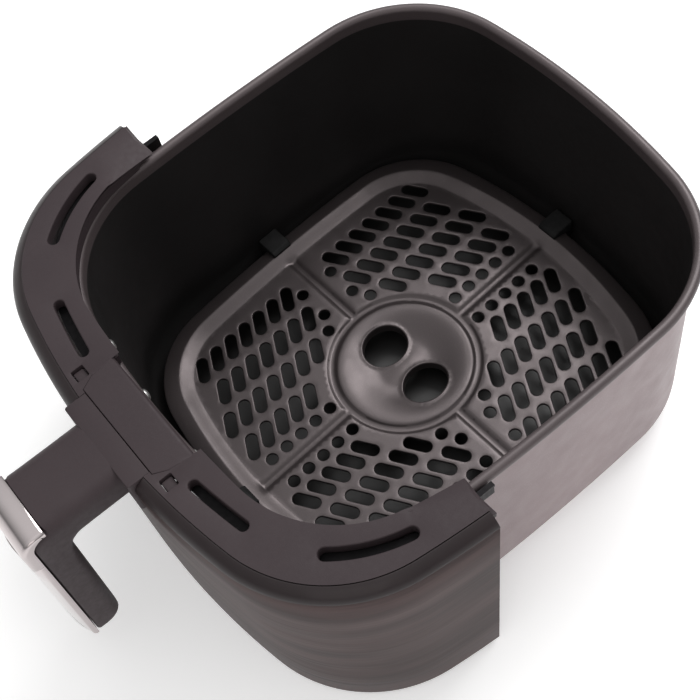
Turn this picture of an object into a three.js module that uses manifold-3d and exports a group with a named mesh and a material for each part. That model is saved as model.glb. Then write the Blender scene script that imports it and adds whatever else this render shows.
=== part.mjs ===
// Drawer of a basket-type air fryer: a deep pan with a perforated crisper plate, a plastic
// fascia round its front and an L-shaped handle with bright trim.
// Millimetres, +Z up. The origin is the centre of the pan's flat base, and the handle points to -Y.
import * as THREE from "three";
import { mergeGeometries, mergeVertices } from "three/addons/utils/BufferGeometryUtils.js";
import Module from "manifold-3d";

const wasm = await Module();
wasm.setup();

// ---- driving dimensions ----

const GAP = 0.3; // clearance between separate pieces

// Squared ovals: bowed sides and ends, joined by tangent corner arcs.
const BEAD_LINE = { halfX: 116.4, halfY: 125, sideRadius: 1250, endRadius: 405, cornerRadius: 63.3 };
const PANEL_EDGE = { halfX: 90, halfY: 98, sideRadius: 900, endRadius: 235, cornerRadius: 35 };
const BEVEL_EDGE = { halfX: 97.6, halfY: 105.6, sideRadius: 907.6, endRadius: 245, cornerRadius: 42.6 };
const FLANGE_EDGE = { halfX: 105.4, halfY: 113.4, sideRadius: 1000, endRadius: 300, cornerRadius: 50.4 };
const FASCIA_EDGE = { halfX: 140.2, halfY: 153.3, sideRadius: 613, endRadius: 380, cornerRadius: 72.3 };
const SEAM_LINE = { halfX: 133.3, halfY: 146.4, sideRadius: 606.1, endRadius: 373.1, cornerRadius: 65.4 };
const MOUTH_EDGE = { halfX: 118.1, halfY: 123.9, sideRadius: 436, endRadius: 704, cornerRadius: 62.4 };

const BEAD_Z = 131;
const BEAD_RADIUS = 2.6;
const PAN_SHEET = 1.2;
const PAN_TAPER = Math.tan(THREE.MathUtils.degToRad(1));
const PAN_FILLET = 21;

const CRISPER_TURN = THREE.MathUtils.degToRad(3.5); // the loose plate sits slightly turned in the pan
const PLATE_Z = 20.5; // top of the flat panel
const PLATE_SHEET = 1.4;
const BEVEL_RISE = 2.8; // of the rim's inner slope, from the panel up to the flange
const FLANGE_RISE = 0.5; // of the flange's outer edge above the panel
const SLOT_PITCH = 10;
const SLOT_COLUMN = 17.7;
const FIRST_COLUMN = 21.2;
const FIRST_ROW = 87.7;
const SLOT_WIDTH = 6.2;
const SLOT_LENGTH = 15.1;
const SLOT_TILT = THREE.MathUtils.degToRad(30);
const HOLE_COLUMN = 8.65;
const HOLE_ROW = 85.1;
const RING_RADIUS = 38.3;
const DISH_RADIUS = 35.6;
const DISH_DEPTH = 3;
const FINGER_RADIUS = 12.3; // along Y; the holes are narrower across
const FINGER_NARROWING = 0.87;
const FINGER_OFFSET = 15.4;
const FINGER_TUBE_TOP = PLATE_Z - 1.5;
const FINGER_TUBE_FOOT = PLATE_Z - 7.5;
const RIB_WIDTH = 5;
const RIB_DEPTH = 0.8;
const BUMPER_LENGTH = 12;
const BUMPER_TOP = 26.3;
const BUMPER_FOOT = 11;
const BUMPER_CLEARANCE = 0.6;

const LEDGE_Z = 143; // top of the fascia
const LEDGE_SHEET = 2.5;
const SKIRT_SHEET = 2;
const MOUTH_SKIRT_Z = 134;
const SEAM_SKIRT_Z = 107.5;
const BAND_Z = 136.8; // lower edge of the glossy band
const PANEL_SHEET = 2.2;
const PANEL_FOOT_Z = 3.5;
const FASCIA_END_TOP = -49.5; // y of the fascia's ends, at its top and at its foot
const FASCIA_END_FOOT = -57.5;

// Slots in the ledge: ends of the centre line, radius and width.
const CURVED_SLOT = { from: [118.4, -78.3], to: [102, -110], radius: 75, width: 5.8 };
const STRAIGHT_SLOT = { from: [70.4, -127.3], to: [42.5, -132.2], radius: 400, width: 5 };

const BRACKET_SHEET = 1.5;
const BRACKET_FOOT_Z = 62;
const BRACKET_SHELF_Z = 134.5;
const BRACKET_STANDOFF = 4.4;
const SHELF_WIDTH = 6.4;
const SHELF_TOP_Z = BRACKET_SHELF_Z + BRACKET_SHEET;
const WING_END_Y = -39;
const RIVET_Z = 119.3;
const RIVET_X = [-52, -20, 20, 52];
const RIVET_HOLE_RADIUS = 1.9;

const SCREW_RADIUS = 1.3;
const SCREW_HEAD_RADIUS = 2.3;
const SCREW_HEAD_HEIGHT = 1.6;
const BOSS_RADIUS = 2.9;
const SIDE_SCREW_Y = 60;
const CORNER_SCREW_ANGLE = THREE.MathUtils.degToRad(55);
const HANDLE_SCREWS = [
  [-13, -133.3],
  [13, -133.3],
];

const NOTCH_HALF = 33; // handle cover, at the pan's mouth
const COVER_MIDDLE_Y = -136.2;
const COVER_MIDDLE_HALF = 30;
const COVER_FRONT_HALF = 26.6;
const COVER_RISE = 0.3; // of the cover and the bright cap above the ledge
const WINDOW_HALF = 37.5;
const WINDOW_BACK_Y = -136.2;
const COLLAR_HALF = 25;
const COLLAR_BACK_Y = -142.8;
const COLLAR_FRONT_Y = -154;
const COLLAR_FOOT_Z = 119.5;
const TONGUE_HALF = 22;
const TONGUE_SHEET = 2.2;
const ARM_HALF = 18;
const ARM_FOOT_Z = 123;

// The grip and its trim lean outwards towards the foot; their y values are those at the ledge.
const GRIP_LEAN = 0.035;
const GRIP_BACK_Y = -184.3;
const GRIP_FRONT_Y = -199.2;
const GRIP_FOOT_Z = 34;
const TRIM_FRONT_Y = -206.2;
const CAP_BACK_Y = -191.5;
const CAP_FOOT_Z = 120.5;
const CAP_SEAT_Z = LEDGE_Z - 3;

const BEYOND = 300; // reach of cutting blocks past the drawer

const COLOURS = {
  coating: { color: 0x1c1a1b, roughness: 0.45, metalness: 0.3 },
  plate: { color: 0x4a4547, roughness: 0.42, metalness: 0.4 },
  silicone: { color: 0x201f20, roughness: 0.7, metalness: 0 },
  matt: { color: 0x4b4246, roughness: 0.6, metalness: 0 },
  gloss: { color: 0x3a2d2a, roughness: 0.18, metalness: 0 },
  brushed: { color: 0x3a3231, roughness: 0.4, metalness: 0.3 },
  chrome: { color: 0xd8d6d4, roughness: 0.08, metalness: 1 },
  steel: { color: 0x8f8d8b, roughness: 0.4, metalness: 0.9 },
};

// ---- closed meshes, joins and cuts ----

// A closed geometry from points and triangles, turned so that its faces point out.
function closedGeometry(points, triangles) {
  const a = new THREE.Vector3();
  const b = new THREE.Vector3();
  const c = new THREE.Vector3();
  let volume = 0;
  for (const [i, j, k] of triangles) {
    a.copy(points[i]);
    b.copy(points[j]);
    c.copy(points[k]);
    volume += a.dot(b.cross(c));
  }
  const facing = volume > 0 ? triangles : triangles.map(([i, j, k]) => [i, k, j]);
  const geometry = new THREE.BufferGeometry();
  geometry.setAttribute("position", new THREE.Float32BufferAttribute(points.flatMap((p) => p.toArray()), 3));
  geometry.setIndex(facing.flat());
  return geometry;
}

// Joins rings of points into a skin. A capped skin ends in a point at both ends; an uncapped
// one runs back to its first ring, like a tyre.
function skin(rings, { capped = false } = {}) {
  const count = rings[0].length;
  const points = rings.flat();
  const triangles = [];
  const last = capped ? rings.length - 1 : rings.length;
  for (let r = 0; r < last; r++) {
    const next = (r + 1) % rings.length;
    for (let i = 0; i < count; i++) {
      const j = (i + 1) % count;
      triangles.push([r * count + i, r * count + j, next * count + j]);
      triangles.push([r * count + i, next * count + j, next * count + i]);
    }
  }
  if (capped) {
    for (const r of [0, rings.length - 1]) {
      const centre = points.length;
      points.push(new THREE.Vector3(0, 0, rings[r][0].z));
      for (let i = 0; i < count; i++) {
        const edge = [r * count + i, r * count + ((i + 1) % count)];
        triangles.push(r === 0 ? [edge[1], edge[0], centre] : [edge[0], edge[1], centre]);
      }
    }
  }
  return closedGeometry(points, triangles);
}

function solid(geometry) {
  const bare = geometry.clone();
  bare.deleteAttribute("normal");
  bare.deleteAttribute("uv");
  const merged = mergeVertices(bare);
  const mesh = new wasm.Mesh({
    numProp: 3,
    vertProperties: new Float32Array(merged.attributes.position.array),
    triVerts: new Uint32Array(merged.index.array),
  });
  return new wasm.Manifold(mesh);
}

function geometryOf(body) {
  const mesh = body.getMesh();
  const geometry = new THREE.BufferGeometry();
  geometry.setAttribute("position", new THREE.Float32BufferAttribute(mesh.vertProperties, 3));
  geometry.setIndex(Array.from(mesh.triVerts));
  return geometry;
}

function cut(geometry, ...tools) {
  return geometryOf(tools.reduce((body, tool) => body.subtract(solid(tool)), solid(geometry)));
}

function join(geometry, ...others) {
  return geometryOf(others.reduce((body, other) => body.add(solid(other)), solid(geometry)));
}

function keep(geometry, region) {
  return geometryOf(solid(geometry).intersect(solid(region)));
}

function block([x0, x1], [y0, y1], [z0, z1]) {
  const box = new THREE.BoxGeometry(x1 - x0, y1 - y0, z1 - z0);
  return box.translate((x0 + x1) / 2, (y0 + y1) / 2, (z0 + z1) / 2);
}

// A prism of an outline drawn in plan, from z0 up to z1.
function prism(shape, z0, z1, curveSegments = 4) {
  const options = { depth: z1 - z0, bevelEnabled: false, curveSegments };
  return new THREE.ExtrudeGeometry(shape, options).translate(0, 0, z0);
}

// A side view drawn in (y, z), pushed across the drawer to +-halfWidth with rounded edges.
function sideExtrusion(shape, halfWidth, rounding, roundingSteps = 3) {
  const options = {
    depth: 2 * (halfWidth - rounding),
    bevelEnabled: rounding > 0,
    bevelThickness: rounding,
    bevelSize: rounding,
    bevelOffset: -rounding,
    bevelSegments: roundingSteps,
    curveSegments: 5,
  };
  const geometry = new THREE.ExtrudeGeometry(shape, options).translate(0, 0, rounding - halfWidth);
  const yzx = new THREE.Matrix4().makeBasis(
    new THREE.Vector3(0, 1, 0),
    new THREE.Vector3(0, 0, 1),
    new THREE.Vector3(1, 0, 0),
  );
  return geometry.applyMatrix4(yzx);
}

// ---- squared ovals ----

const SIDE_STEPS = 4;
const CORNER_STEPS = 8;
const END_STEPS = 5;

// Centres and turning angles of the three arcs in the first quadrant.
function ovalArcs(outline) {
  const side = new THREE.Vector2(outline.halfX - outline.sideRadius, 0);
  const end = new THREE.Vector2(0, outline.halfY - outline.endRadius);
  const fromSide = outline.sideRadius - outline.cornerRadius;
  const fromEnd = outline.endRadius - outline.cornerRadius;
  const apart = side.distanceTo(end);
  const along = (fromSide ** 2 - fromEnd ** 2 + apart ** 2) / (2 * apart);
  const across = Math.sqrt(fromSide ** 2 - along ** 2);
  const direction = end.clone().sub(side).divideScalar(apart);
  const corner = side.clone().addScaledVector(direction, along);
  corner.x += direction.y < 0 ? -direction.y * across : direction.y * across;
  corner.y += direction.x * across;
  const sideAngle = Math.atan2(corner.y - side.y, corner.x - side.x);
  const endAngle = Math.atan2(corner.y - end.y, corner.x - end.x);
  return { side, end, corner, sideAngle, endAngle };
}

// Points of the outline, counter-clockwise, moved outwards by offset.
function oval(outline, offset = 0) {
  const { side, end, corner, sideAngle, endAngle } = ovalArcs(outline);
  const quarter = [];
  const addArc = (centre, radius, from, to, steps, first) => {
    for (let i = first; i <= steps; i++) {
      const angle = from + ((to - from) * i) / steps;
      quarter.push([centre.x + radius * Math.cos(angle), centre.y + radius * Math.sin(angle)]);
    }
  };
  addArc(side, outline.sideRadius + offset, 0, sideAngle, SIDE_STEPS, 0);
  addArc(corner, outline.cornerRadius + offset, sideAngle, endAngle, CORNER_STEPS, 1);
  addArc(end, outline.endRadius + offset, endAngle, Math.PI / 2, END_STEPS, 1);
  const half = [...quarter, ...quarter.slice(0, -1).reverse().map(([x, y]) => [-x, y])];
  return [...half, ...half.slice(1, -1).reverse().map(([x, y]) => [x, -y])];
}

function ovalRing(outline, offset, z) {
  return oval(outline, offset).map(([x, y]) => new THREE.Vector3(x, y, z));
}

// The front point of an outline at a given x, with the outward normal there.
function frontPoint(outline, x, offset = 0) {
  const radius = outline.endRadius + offset;
  const centreY = -(outline.halfY - outline.endRadius);
  const normal = new THREE.Vector2(x / radius, -Math.sqrt(1 - (x / radius) ** 2));
  return { x, y: centreY + radius * normal.y, normal };
}

// ---- pan ----

// Offset of the pan wall from the bead's centre line at a height, on its inside or its outside.
function wallOffset(z, inside) {
  const taper = PAN_TAPER * (BEAD_Z - z);
  return -BEAD_RADIUS - taper + (inside ? 0 : PAN_SHEET);
}

// Rings of the rounded bottom corner, from the flat base up to the wall.
function filletRings(radius, baseZ, inside) {
  const steps = 5;
  const rings = [];
  for (let i = 0; i <= steps; i++) {
    const angle = (Math.PI / 2) * (i / steps);
    const z = baseZ + radius * (1 - Math.cos(angle));
    const offset = wallOffset(baseZ + radius, inside) - radius * (1 - Math.sin(angle));
    rings.push(ovalRing(BEAD_LINE, offset, z));
  }
  return rings;
}

function rivetHole(x) {
  const depth = 2 * (PAN_SHEET + BRACKET_SHEET) + 6;
  const hole = new THREE.CylinderGeometry(RIVET_HOLE_RADIUS, RIVET_HOLE_RADIUS, depth, 10);
  return placeOnFrontWall(hole, x);
}

// Turns a shape made along +Y so that it points out of the front wall at the rivet row.
function placeOnFrontWall(geometry, x) {
  const wall = frontPoint(BEAD_LINE, x, wallOffset(RIVET_Z, false));
  const turn = Math.atan2(wall.normal.x, -wall.normal.y);
  return geometry.rotateX(Math.PI).rotateZ(turn).translate(wall.x, wall.y, RIVET_Z);
}

function pan() {
  const outside = filletRings(PAN_FILLET, 0, false);
  const bead = [-118, -90, -45, 0, 45, 90, 135, 180].map((degrees) => {
    const angle = THREE.MathUtils.degToRad(degrees);
    return ovalRing(BEAD_LINE, BEAD_RADIUS * Math.cos(angle), BEAD_Z + BEAD_RADIUS * Math.sin(angle));
  });
  const inside = filletRings(PAN_FILLET - PAN_SHEET, PAN_SHEET, true).reverse();
  return cut(skin([...outside, ...bead, ...inside], { capped: true }), ...RIVET_X.map(rivetHole));
}

// ---- crisper plate ----

function capsule(length, width, arcSteps) {
  const reach = (length - width) / 2;
  const shape = new THREE.Shape();
  for (let i = 0; i <= arcSteps; i++) {
    const angle = -Math.PI / 2 + (Math.PI * i) / arcSteps;
    const x = reach + (width / 2) * Math.cos(angle);
    shape[i ? "lineTo" : "moveTo"](x, (width / 2) * Math.sin(angle));
  }
  for (let i = 0; i <= arcSteps; i++) {
    const angle = Math.PI / 2 + (Math.PI * i) / arcSteps;
    shape.lineTo(-reach + (width / 2) * Math.cos(angle), (width / 2) * Math.sin(angle));
  }
  return shape;
}

// Centres of the slots and round holes in one quarter of the plate.
function quarterPattern() {
  const slots = [];
  const holes = [];
  const columns = [
    { x: FIRST_COLUMN, top: FIRST_ROW, count: 5 },
    { x: FIRST_COLUMN + SLOT_COLUMN, top: FIRST_ROW, count: 7 },
    { x: FIRST_COLUMN + 2 * SLOT_COLUMN, top: FIRST_ROW - SLOT_PITCH, count: 7 },
    { x: FIRST_COLUMN + 3 * SLOT_COLUMN, top: FIRST_ROW - SLOT_PITCH, count: 7 },
  ];
  for (const { x, top, count } of columns) {
    for (let row = 0; row < count; row++) {
      slots.push([x, top - SLOT_PITCH * row]);
    }
  }
  for (let row = 0; row < 5; row++) {
    holes.push([HOLE_COLUMN, HOLE_ROW - SLOT_PITCH * row]);
  }
  // The last place in each outer column is a round hole, set where that slot's end would be.
  const shift = 5;
  const along = [Math.cos(SLOT_TILT), -Math.sin(SLOT_TILT)];
  const ends = [
    { column: 1, row: 7, side: 1 },
    { column: 2, row: 8, side: -1 },
    { column: 3, row: 8, side: -1 },
  ];
  for (const { column, row, side } of ends) {
    const x = FIRST_COLUMN + column * SLOT_COLUMN;
    const y = FIRST_ROW - row * SLOT_PITCH;
    holes.push([x + side * shift * along[0], y + side * shift * along[1]]);
  }
  return { slots, holes };
}

function plateCutters() {
  const { slots, holes } = quarterPattern();
  const z0 = PLATE_Z - 10;
  const z1 = PLATE_Z + 5;
  const slot = capsule(SLOT_LENGTH, SLOT_WIDTH, 3);
  const cutters = [];
  for (const mirrorX of [1, -1]) {
    for (const mirrorY of [1, -1]) {
      for (const [x, y] of slots) {
        const tilt = -SLOT_TILT * mirrorX * mirrorY;
        cutters.push(prism(slot, z0, z1).rotateZ(tilt).translate(x * mirrorX, y * mirrorY, 0));
      }
      for (const [x, y] of holes) {
        const hole = new THREE.CylinderGeometry(SLOT_WIDTH / 2, SLOT_WIDTH / 2, z1 - z0, 8);
        cutters.push(hole.rotateX(Math.PI / 2).translate(x * mirrorX, y * mirrorY, (z0 + z1) / 2));
      }
    }
  }
  return mergeGeometries(cutters.map((cutter) => (cutter.index ? cutter.toNonIndexed() : cutter)));
}

// The pressed centre: a ring groove round a shallow dish.
function plateCentre() {
  const top = PLATE_Z;
  const groove = [
    [RING_RADIUS + 2.6, top],
    [RING_RADIUS + 1.2, top - 1],
    [RING_RADIUS - 1.2, top - 1],
    [DISH_RADIUS + 0.4, top],
    [DISH_RADIUS - 4, top - 1.2],
    [DISH_RADIUS - 12, top - 0.8 * DISH_DEPTH],
    [0, top - DISH_DEPTH],
  ];
  const profile = [...groove, ...groove.map(([r, z]) => [r, z - PLATE_SHEET]).reverse()];
  profile.push(profile[0]);
  return new THREE.LatheGeometry(profile.map(([r, z]) => new THREE.Vector2(r, z)), 40).rotateX(Math.PI / 2);
}

// The rim of a finger hole, drawn down into a short tube.
function fingerTube(x) {
  const profile = [
    [FINGER_RADIUS - 1, FINGER_TUBE_FOOT],
    [FINGER_RADIUS + PLATE_SHEET, FINGER_TUBE_FOOT],
    [FINGER_RADIUS + PLATE_SHEET, FINGER_TUBE_TOP - 0.7],
    [FINGER_RADIUS + 0.7, FINGER_TUBE_TOP],
    [FINGER_RADIUS - 1, FINGER_TUBE_TOP],
    [FINGER_RADIUS - 1, FINGER_TUBE_FOOT],
  ];
  const ring = new THREE.LatheGeometry(profile.map(([r, z]) => new THREE.Vector2(r, z)), 24);
  return ring.rotateX(Math.PI / 2).scale(FINGER_NARROWING, 1, 1).translate(x, 0, 0);
}

function crisperPlate() {
  const top = [
    ovalRing(PANEL_EDGE, 0, PLATE_Z),
    ovalRing(BEVEL_EDGE, 0, PLATE_Z + BEVEL_RISE),
    ovalRing(FLANGE_EDGE, 0, PLATE_Z + FLANGE_RISE),
  ];
  const under = top.map((ring) => ring.map((p) => new THREE.Vector3(p.x, p.y, p.z - PLATE_SHEET)));
  const sheet = skin([...under, ...top.reverse()], { capped: true });
  const centreRadius = RING_RADIUS + 2.2;
  const centreHole = uprightCylinder(centreRadius, 0, 0, PLATE_Z - 10, PLATE_Z + 10, 40);
  const frame = cut(sheet, plateCutters(), centreHole);
  const centre = join(plateCentre(), fingerTube(FINGER_OFFSET), fingerTube(-FINGER_OFFSET));
  // Grooves run from the ring to the panel's edge, one along each axis.
  const width = [-RIB_WIDTH / 2, RIB_WIDTH / 2];
  const grooves = [PANEL_EDGE.halfX, PANEL_EDGE.halfY, PANEL_EDGE.halfX, PANEL_EDGE.halfY].map((reach, i) => {
    const groove = block([RING_RADIUS, reach], width, [PLATE_Z - RIB_DEPTH, PLATE_Z + 5]);
    return groove.rotateZ((i * Math.PI) / 2);
  });
  const fingers = [FINGER_OFFSET, -FINGER_OFFSET].map((x) => {
    const hole = uprightCylinder(FINGER_RADIUS, 0, 0, PLATE_Z - 10, PLATE_Z + 10, 24);
    return hole.scale(FINGER_NARROWING, 1, 1).translate(x, 0, 0);
  });
  return cut(join(frame, centre), ...fingers, ...grooves);
}

// A silicone foot with a slot that grips the flange, drawn in (outwards, up).
function bumper(halfBevel, halfFlange, halfBead, angle) {
  const filletRadius = PAN_FILLET - PAN_SHEET;
  const filletZ = PAN_SHEET + filletRadius;
  const wallReach = (z) => {
    const foot = halfBead + wallOffset(Math.max(z, filletZ), true);
    const sink = Math.max(filletZ - z, 0);
    return foot - filletRadius + Math.sqrt(filletRadius ** 2 - sink ** 2) - BUMPER_CLEARANCE;
  };
  const bevelZ = PLATE_Z + BEVEL_RISE;
  const flangeZ = PLATE_Z + FLANGE_RISE;
  const slope = (bevelZ - flangeZ) / (halfFlange - halfBevel);
  const flangeTop = (u) => bevelZ + slope * (halfBevel - u) + GAP;
  const flangeFoot = (u) => flangeTop(u) - PLATE_SHEET - 2 * GAP;
  const slotEnd = halfFlange + GAP;
  const extrude = (points, length) => {
    const shape = new THREE.Shape(points.map(([u, z]) => new THREE.Vector2(u, z)));
    const options = { depth: length, bevelEnabled: false };
    return new THREE.ExtrudeGeometry(shape, options).translate(0, 0, -length / 2);
  };
  const outside = [
    [halfBevel + 0.4, BUMPER_FOOT + 1.5],
    [halfBevel + 2.5, BUMPER_FOOT],
    [wallReach(BUMPER_FOOT), BUMPER_FOOT],
    [wallReach(14), 14],
    [wallReach(18), 18],
    [wallReach(BUMPER_TOP) - 0.2, BUMPER_TOP - 1],
    [wallReach(BUMPER_TOP) - 1.2, BUMPER_TOP],
    [halfBevel + 1.4, BUMPER_TOP],
    [halfBevel - 0.6, BUMPER_TOP - 1.6],
    [halfBevel - 0.1, BUMPER_TOP - 5],
  ];
  const slotStart = halfBevel - 5;
  const slot = [
    [slotStart, flangeFoot(slotStart)],
    [slotEnd, flangeFoot(slotEnd)],
    [slotEnd + 0.01, flangeTop(slotEnd)],
    [slotStart - 0.01, flangeTop(slotStart)],
  ];
  const foot = cut(extrude(outside, BUMPER_LENGTH), extrude(slot, 2 * BUMPER_LENGTH));
  return foot.rotateX(Math.PI / 2).rotateZ(angle + CRISPER_TURN);
}

// ---- fascia ----

// The space in front of the fascia's ends, whose cut faces lean back towards the foot.
function frontOfEnds(topY, footY) {
  const far = -260;
  const slope = (topY - footY) / (LEDGE_Z - PANEL_FOOT_Z);
  const highZ = LEDGE_Z + 20;
  const lowZ = -20;
  const shape = new THREE.Shape([
    new THREE.Vector2(far, lowZ),
    new THREE.Vector2(footY + slope * (lowZ - PANEL_FOOT_Z), lowZ),
    new THREE.Vector2(footY + slope * (highZ - PANEL_FOOT_Z), highZ),
    new THREE.Vector2(far, highZ),
  ]);
  return sideExtrusion(shape, 160, 0);
}

// A slot along an arc of given radius between two points, bulging away from the pan.
function arcSlot(from, to, radius, width) {
  const chord = to.clone().sub(from);
  const rise = Math.sqrt(radius ** 2 - chord.lengthSq() / 4);
  const inward = new THREE.Vector2(-chord.y, chord.x).normalize();
  const middle = from.clone().add(to).multiplyScalar(0.5);
  if (inward.dot(middle) > 0) {
    inward.negate();
  }
  const centre = middle.clone().addScaledVector(inward, rise);
  const start = from.clone().sub(centre).angle();
  let sweep = to.clone().sub(centre).angle() - start;
  sweep -= Math.round(sweep / (2 * Math.PI)) * 2 * Math.PI;
  const steps = 6;
  const turn = Math.sign(sweep);
  const points = [];
  const addPoint = (middlePoint, angle, reach) => {
    points.push(new THREE.Vector2(Math.cos(angle), Math.sin(angle)).multiplyScalar(reach).add(middlePoint));
  };
  const endCap = (middlePoint, angle) => {
    for (const degrees of [45, 90, 135]) {
      addPoint(middlePoint, angle + turn * THREE.MathUtils.degToRad(degrees), width / 2);
    }
  };
  for (let i = 0; i <= steps; i++) {
    addPoint(centre, start + (sweep * i) / steps, radius + width / 2);
  }
  endCap(to, start + sweep);
  for (let i = steps; i >= 0; i--) {
    addPoint(centre, start + (sweep * i) / steps, radius - width / 2);
  }
  endCap(from, start + Math.PI);
  return new THREE.Shape(points);
}

function ledgeSlots() {
  const cutters = [];
  for (const side of [1, -1]) {
    for (const { from, to, radius, width } of [CURVED_SLOT, STRAIGHT_SLOT]) {
      const start = new THREE.Vector2(from[0] * side, from[1]);
      const end = new THREE.Vector2(to[0] * side, to[1]);
      cutters.push(prism(arcSlot(start, end, radius, width), LEDGE_Z - 8, LEDGE_Z + 5));
    }
  }
  return cutters;
}

// Places of the screws that hold the top frame to the bracket: near the ends and on the corners,
// along the middle of the bracket's shelf.
function frameScrewPlaces() {
  const { side, corner } = ovalArcs(BEAD_LINE);
  const offset = BRACKET_STANDOFF + BRACKET_SHEET + GAP + SCREW_HEAD_RADIUS;
  const sideAngle = Math.asin(SIDE_SCREW_Y / (BEAD_LINE.sideRadius + offset));
  const sideX = side.x + (BEAD_LINE.sideRadius + offset) * Math.cos(sideAngle);
  const cornerX = corner.x + (BEAD_LINE.cornerRadius + offset) * Math.cos(CORNER_SCREW_ANGLE);
  const cornerY = corner.y + (BEAD_LINE.cornerRadius + offset) * Math.sin(CORNER_SCREW_ANGLE);
  return [
    [sideX, -SIDE_SCREW_Y],
    [cornerX, -cornerY],
    [-cornerX, -cornerY],
    [-sideX, -SIDE_SCREW_Y],
  ];
}

const FRAME_SCREWS = frameScrewPlaces();

function topFrame() {
  const roof = LEDGE_Z - LEDGE_SHEET;
  const rings = [
    ovalRing(MOUTH_EDGE, 0, MOUTH_SKIRT_Z),
    ovalRing(MOUTH_EDGE, 0, LEDGE_Z - 1.6),
    ovalRing(MOUTH_EDGE, 0.5, LEDGE_Z - 0.5),
    ovalRing(MOUTH_EDGE, 1.6, LEDGE_Z),
    ovalRing(SEAM_LINE, 0, LEDGE_Z),
    ovalRing(SEAM_LINE, 0, SEAM_SKIRT_Z),
    ovalRing(SEAM_LINE, -SKIRT_SHEET, SEAM_SKIRT_Z),
    ovalRing(SEAM_LINE, -SKIRT_SHEET, roof),
    ovalRing(MOUTH_EDGE, SKIRT_SHEET, roof),
    ovalRing(MOUTH_EDGE, SKIRT_SHEET, MOUTH_SKIRT_Z),
  ];
  const shell = keep(skin(rings), frontOfEnds(FASCIA_END_TOP, FASCIA_END_FOOT));
  const bosses = FRAME_SCREWS.map(([x, y]) =>
    uprightCylinder(BOSS_RADIUS, x, y, SHELF_TOP_Z + GAP, LEDGE_Z - 1, 10),
  );
  const bores = FRAME_SCREWS.map(([x, y]) =>
    uprightCylinder(SCREW_RADIUS + GAP, x, y, BRACKET_SHELF_Z, LEDGE_Z - 1.8, 8),
  );
  const notchHalf = NOTCH_HALF + GAP;
  const coverNotch = block([-notchHalf, notchHalf], [COLLAR_BACK_Y - GAP, 0], [MOUTH_SKIRT_Z - 5, BEYOND]);
  const windows = [1, -1].map((side) => {
    const edges = [side * (NOTCH_HALF - 1), side * WINDOW_HALF].sort((a, b) => a - b);
    return block(edges, [COLLAR_BACK_Y, WINDOW_BACK_Y], [LEDGE_Z - 5, BEYOND]);
  });
  return cut(join(shell, ...bosses), ...bores, ...ledgeSlots(), coverNotch, collarNotch(), ...windows);
}

// The way through the fascia for the handle's collar.
function collarNotch() {
  const half = COLLAR_HALF + GAP;
  return block([-half, half], [-BEYOND, COLLAR_BACK_Y + GAP], [COLLAR_FOOT_Z - GAP, BEYOND]);
}

function uprightCylinder(radius, x, y, z0, z1, sides) {
  const cylinder = new THREE.CylinderGeometry(radius, radius, z1 - z0, sides);
  return cylinder.rotateX(Math.PI / 2).translate(x, y, (z0 + z1) / 2);
}

// The glossy band is one long curved strip on each side of the handle's collar.
function trimBand(side) {
  const rings = [
    ovalRing(SEAM_LINE, GAP, LEDGE_Z - 0.5),
    ovalRing(SEAM_LINE, GAP + 0.7, LEDGE_Z - 0.2),
    ovalRing(FASCIA_EDGE, -2.3, LEDGE_Z - 1.5),
    ovalRing(FASCIA_EDGE, -0.7, LEDGE_Z - 3.6),
    ovalRing(FASCIA_EDGE, 0, BAND_Z),
    ovalRing(FASCIA_EDGE, -1.9, BAND_Z),
    ovalRing(SEAM_LINE, GAP, LEDGE_Z - 3.6),
  ];
  const band = keep(skin(rings), frontOfEnds(FASCIA_END_TOP, FASCIA_END_FOOT));
  const half = [side * (COLLAR_HALF + GAP), side * BEYOND].sort((a, b) => a - b);
  return keep(band, block(half, [-BEYOND, 0], [0, BEYOND]));
}

function frontPanel() {
  const top = BAND_Z - GAP;
  const rings = [
    ovalRing(FASCIA_EDGE, -0.2, top),
    ovalRing(FASCIA_EDGE, -0.2, PANEL_FOOT_Z + 1),
    ovalRing(FASCIA_EDGE, -1.2, PANEL_FOOT_Z),
    ovalRing(FASCIA_EDGE, -8, PANEL_FOOT_Z),
    ovalRing(FASCIA_EDGE, -8, PANEL_FOOT_Z + PANEL_SHEET),
    ovalRing(FASCIA_EDGE, -PANEL_SHEET, PANEL_FOOT_Z + PANEL_SHEET),
    ovalRing(FASCIA_EDGE, -PANEL_SHEET, top),
  ];
  return cut(keep(skin(rings), frontOfEnds(FASCIA_END_TOP, FASCIA_END_FOOT)), collarNotch());
}

// ---- bracket, rivets and screws ----

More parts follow.
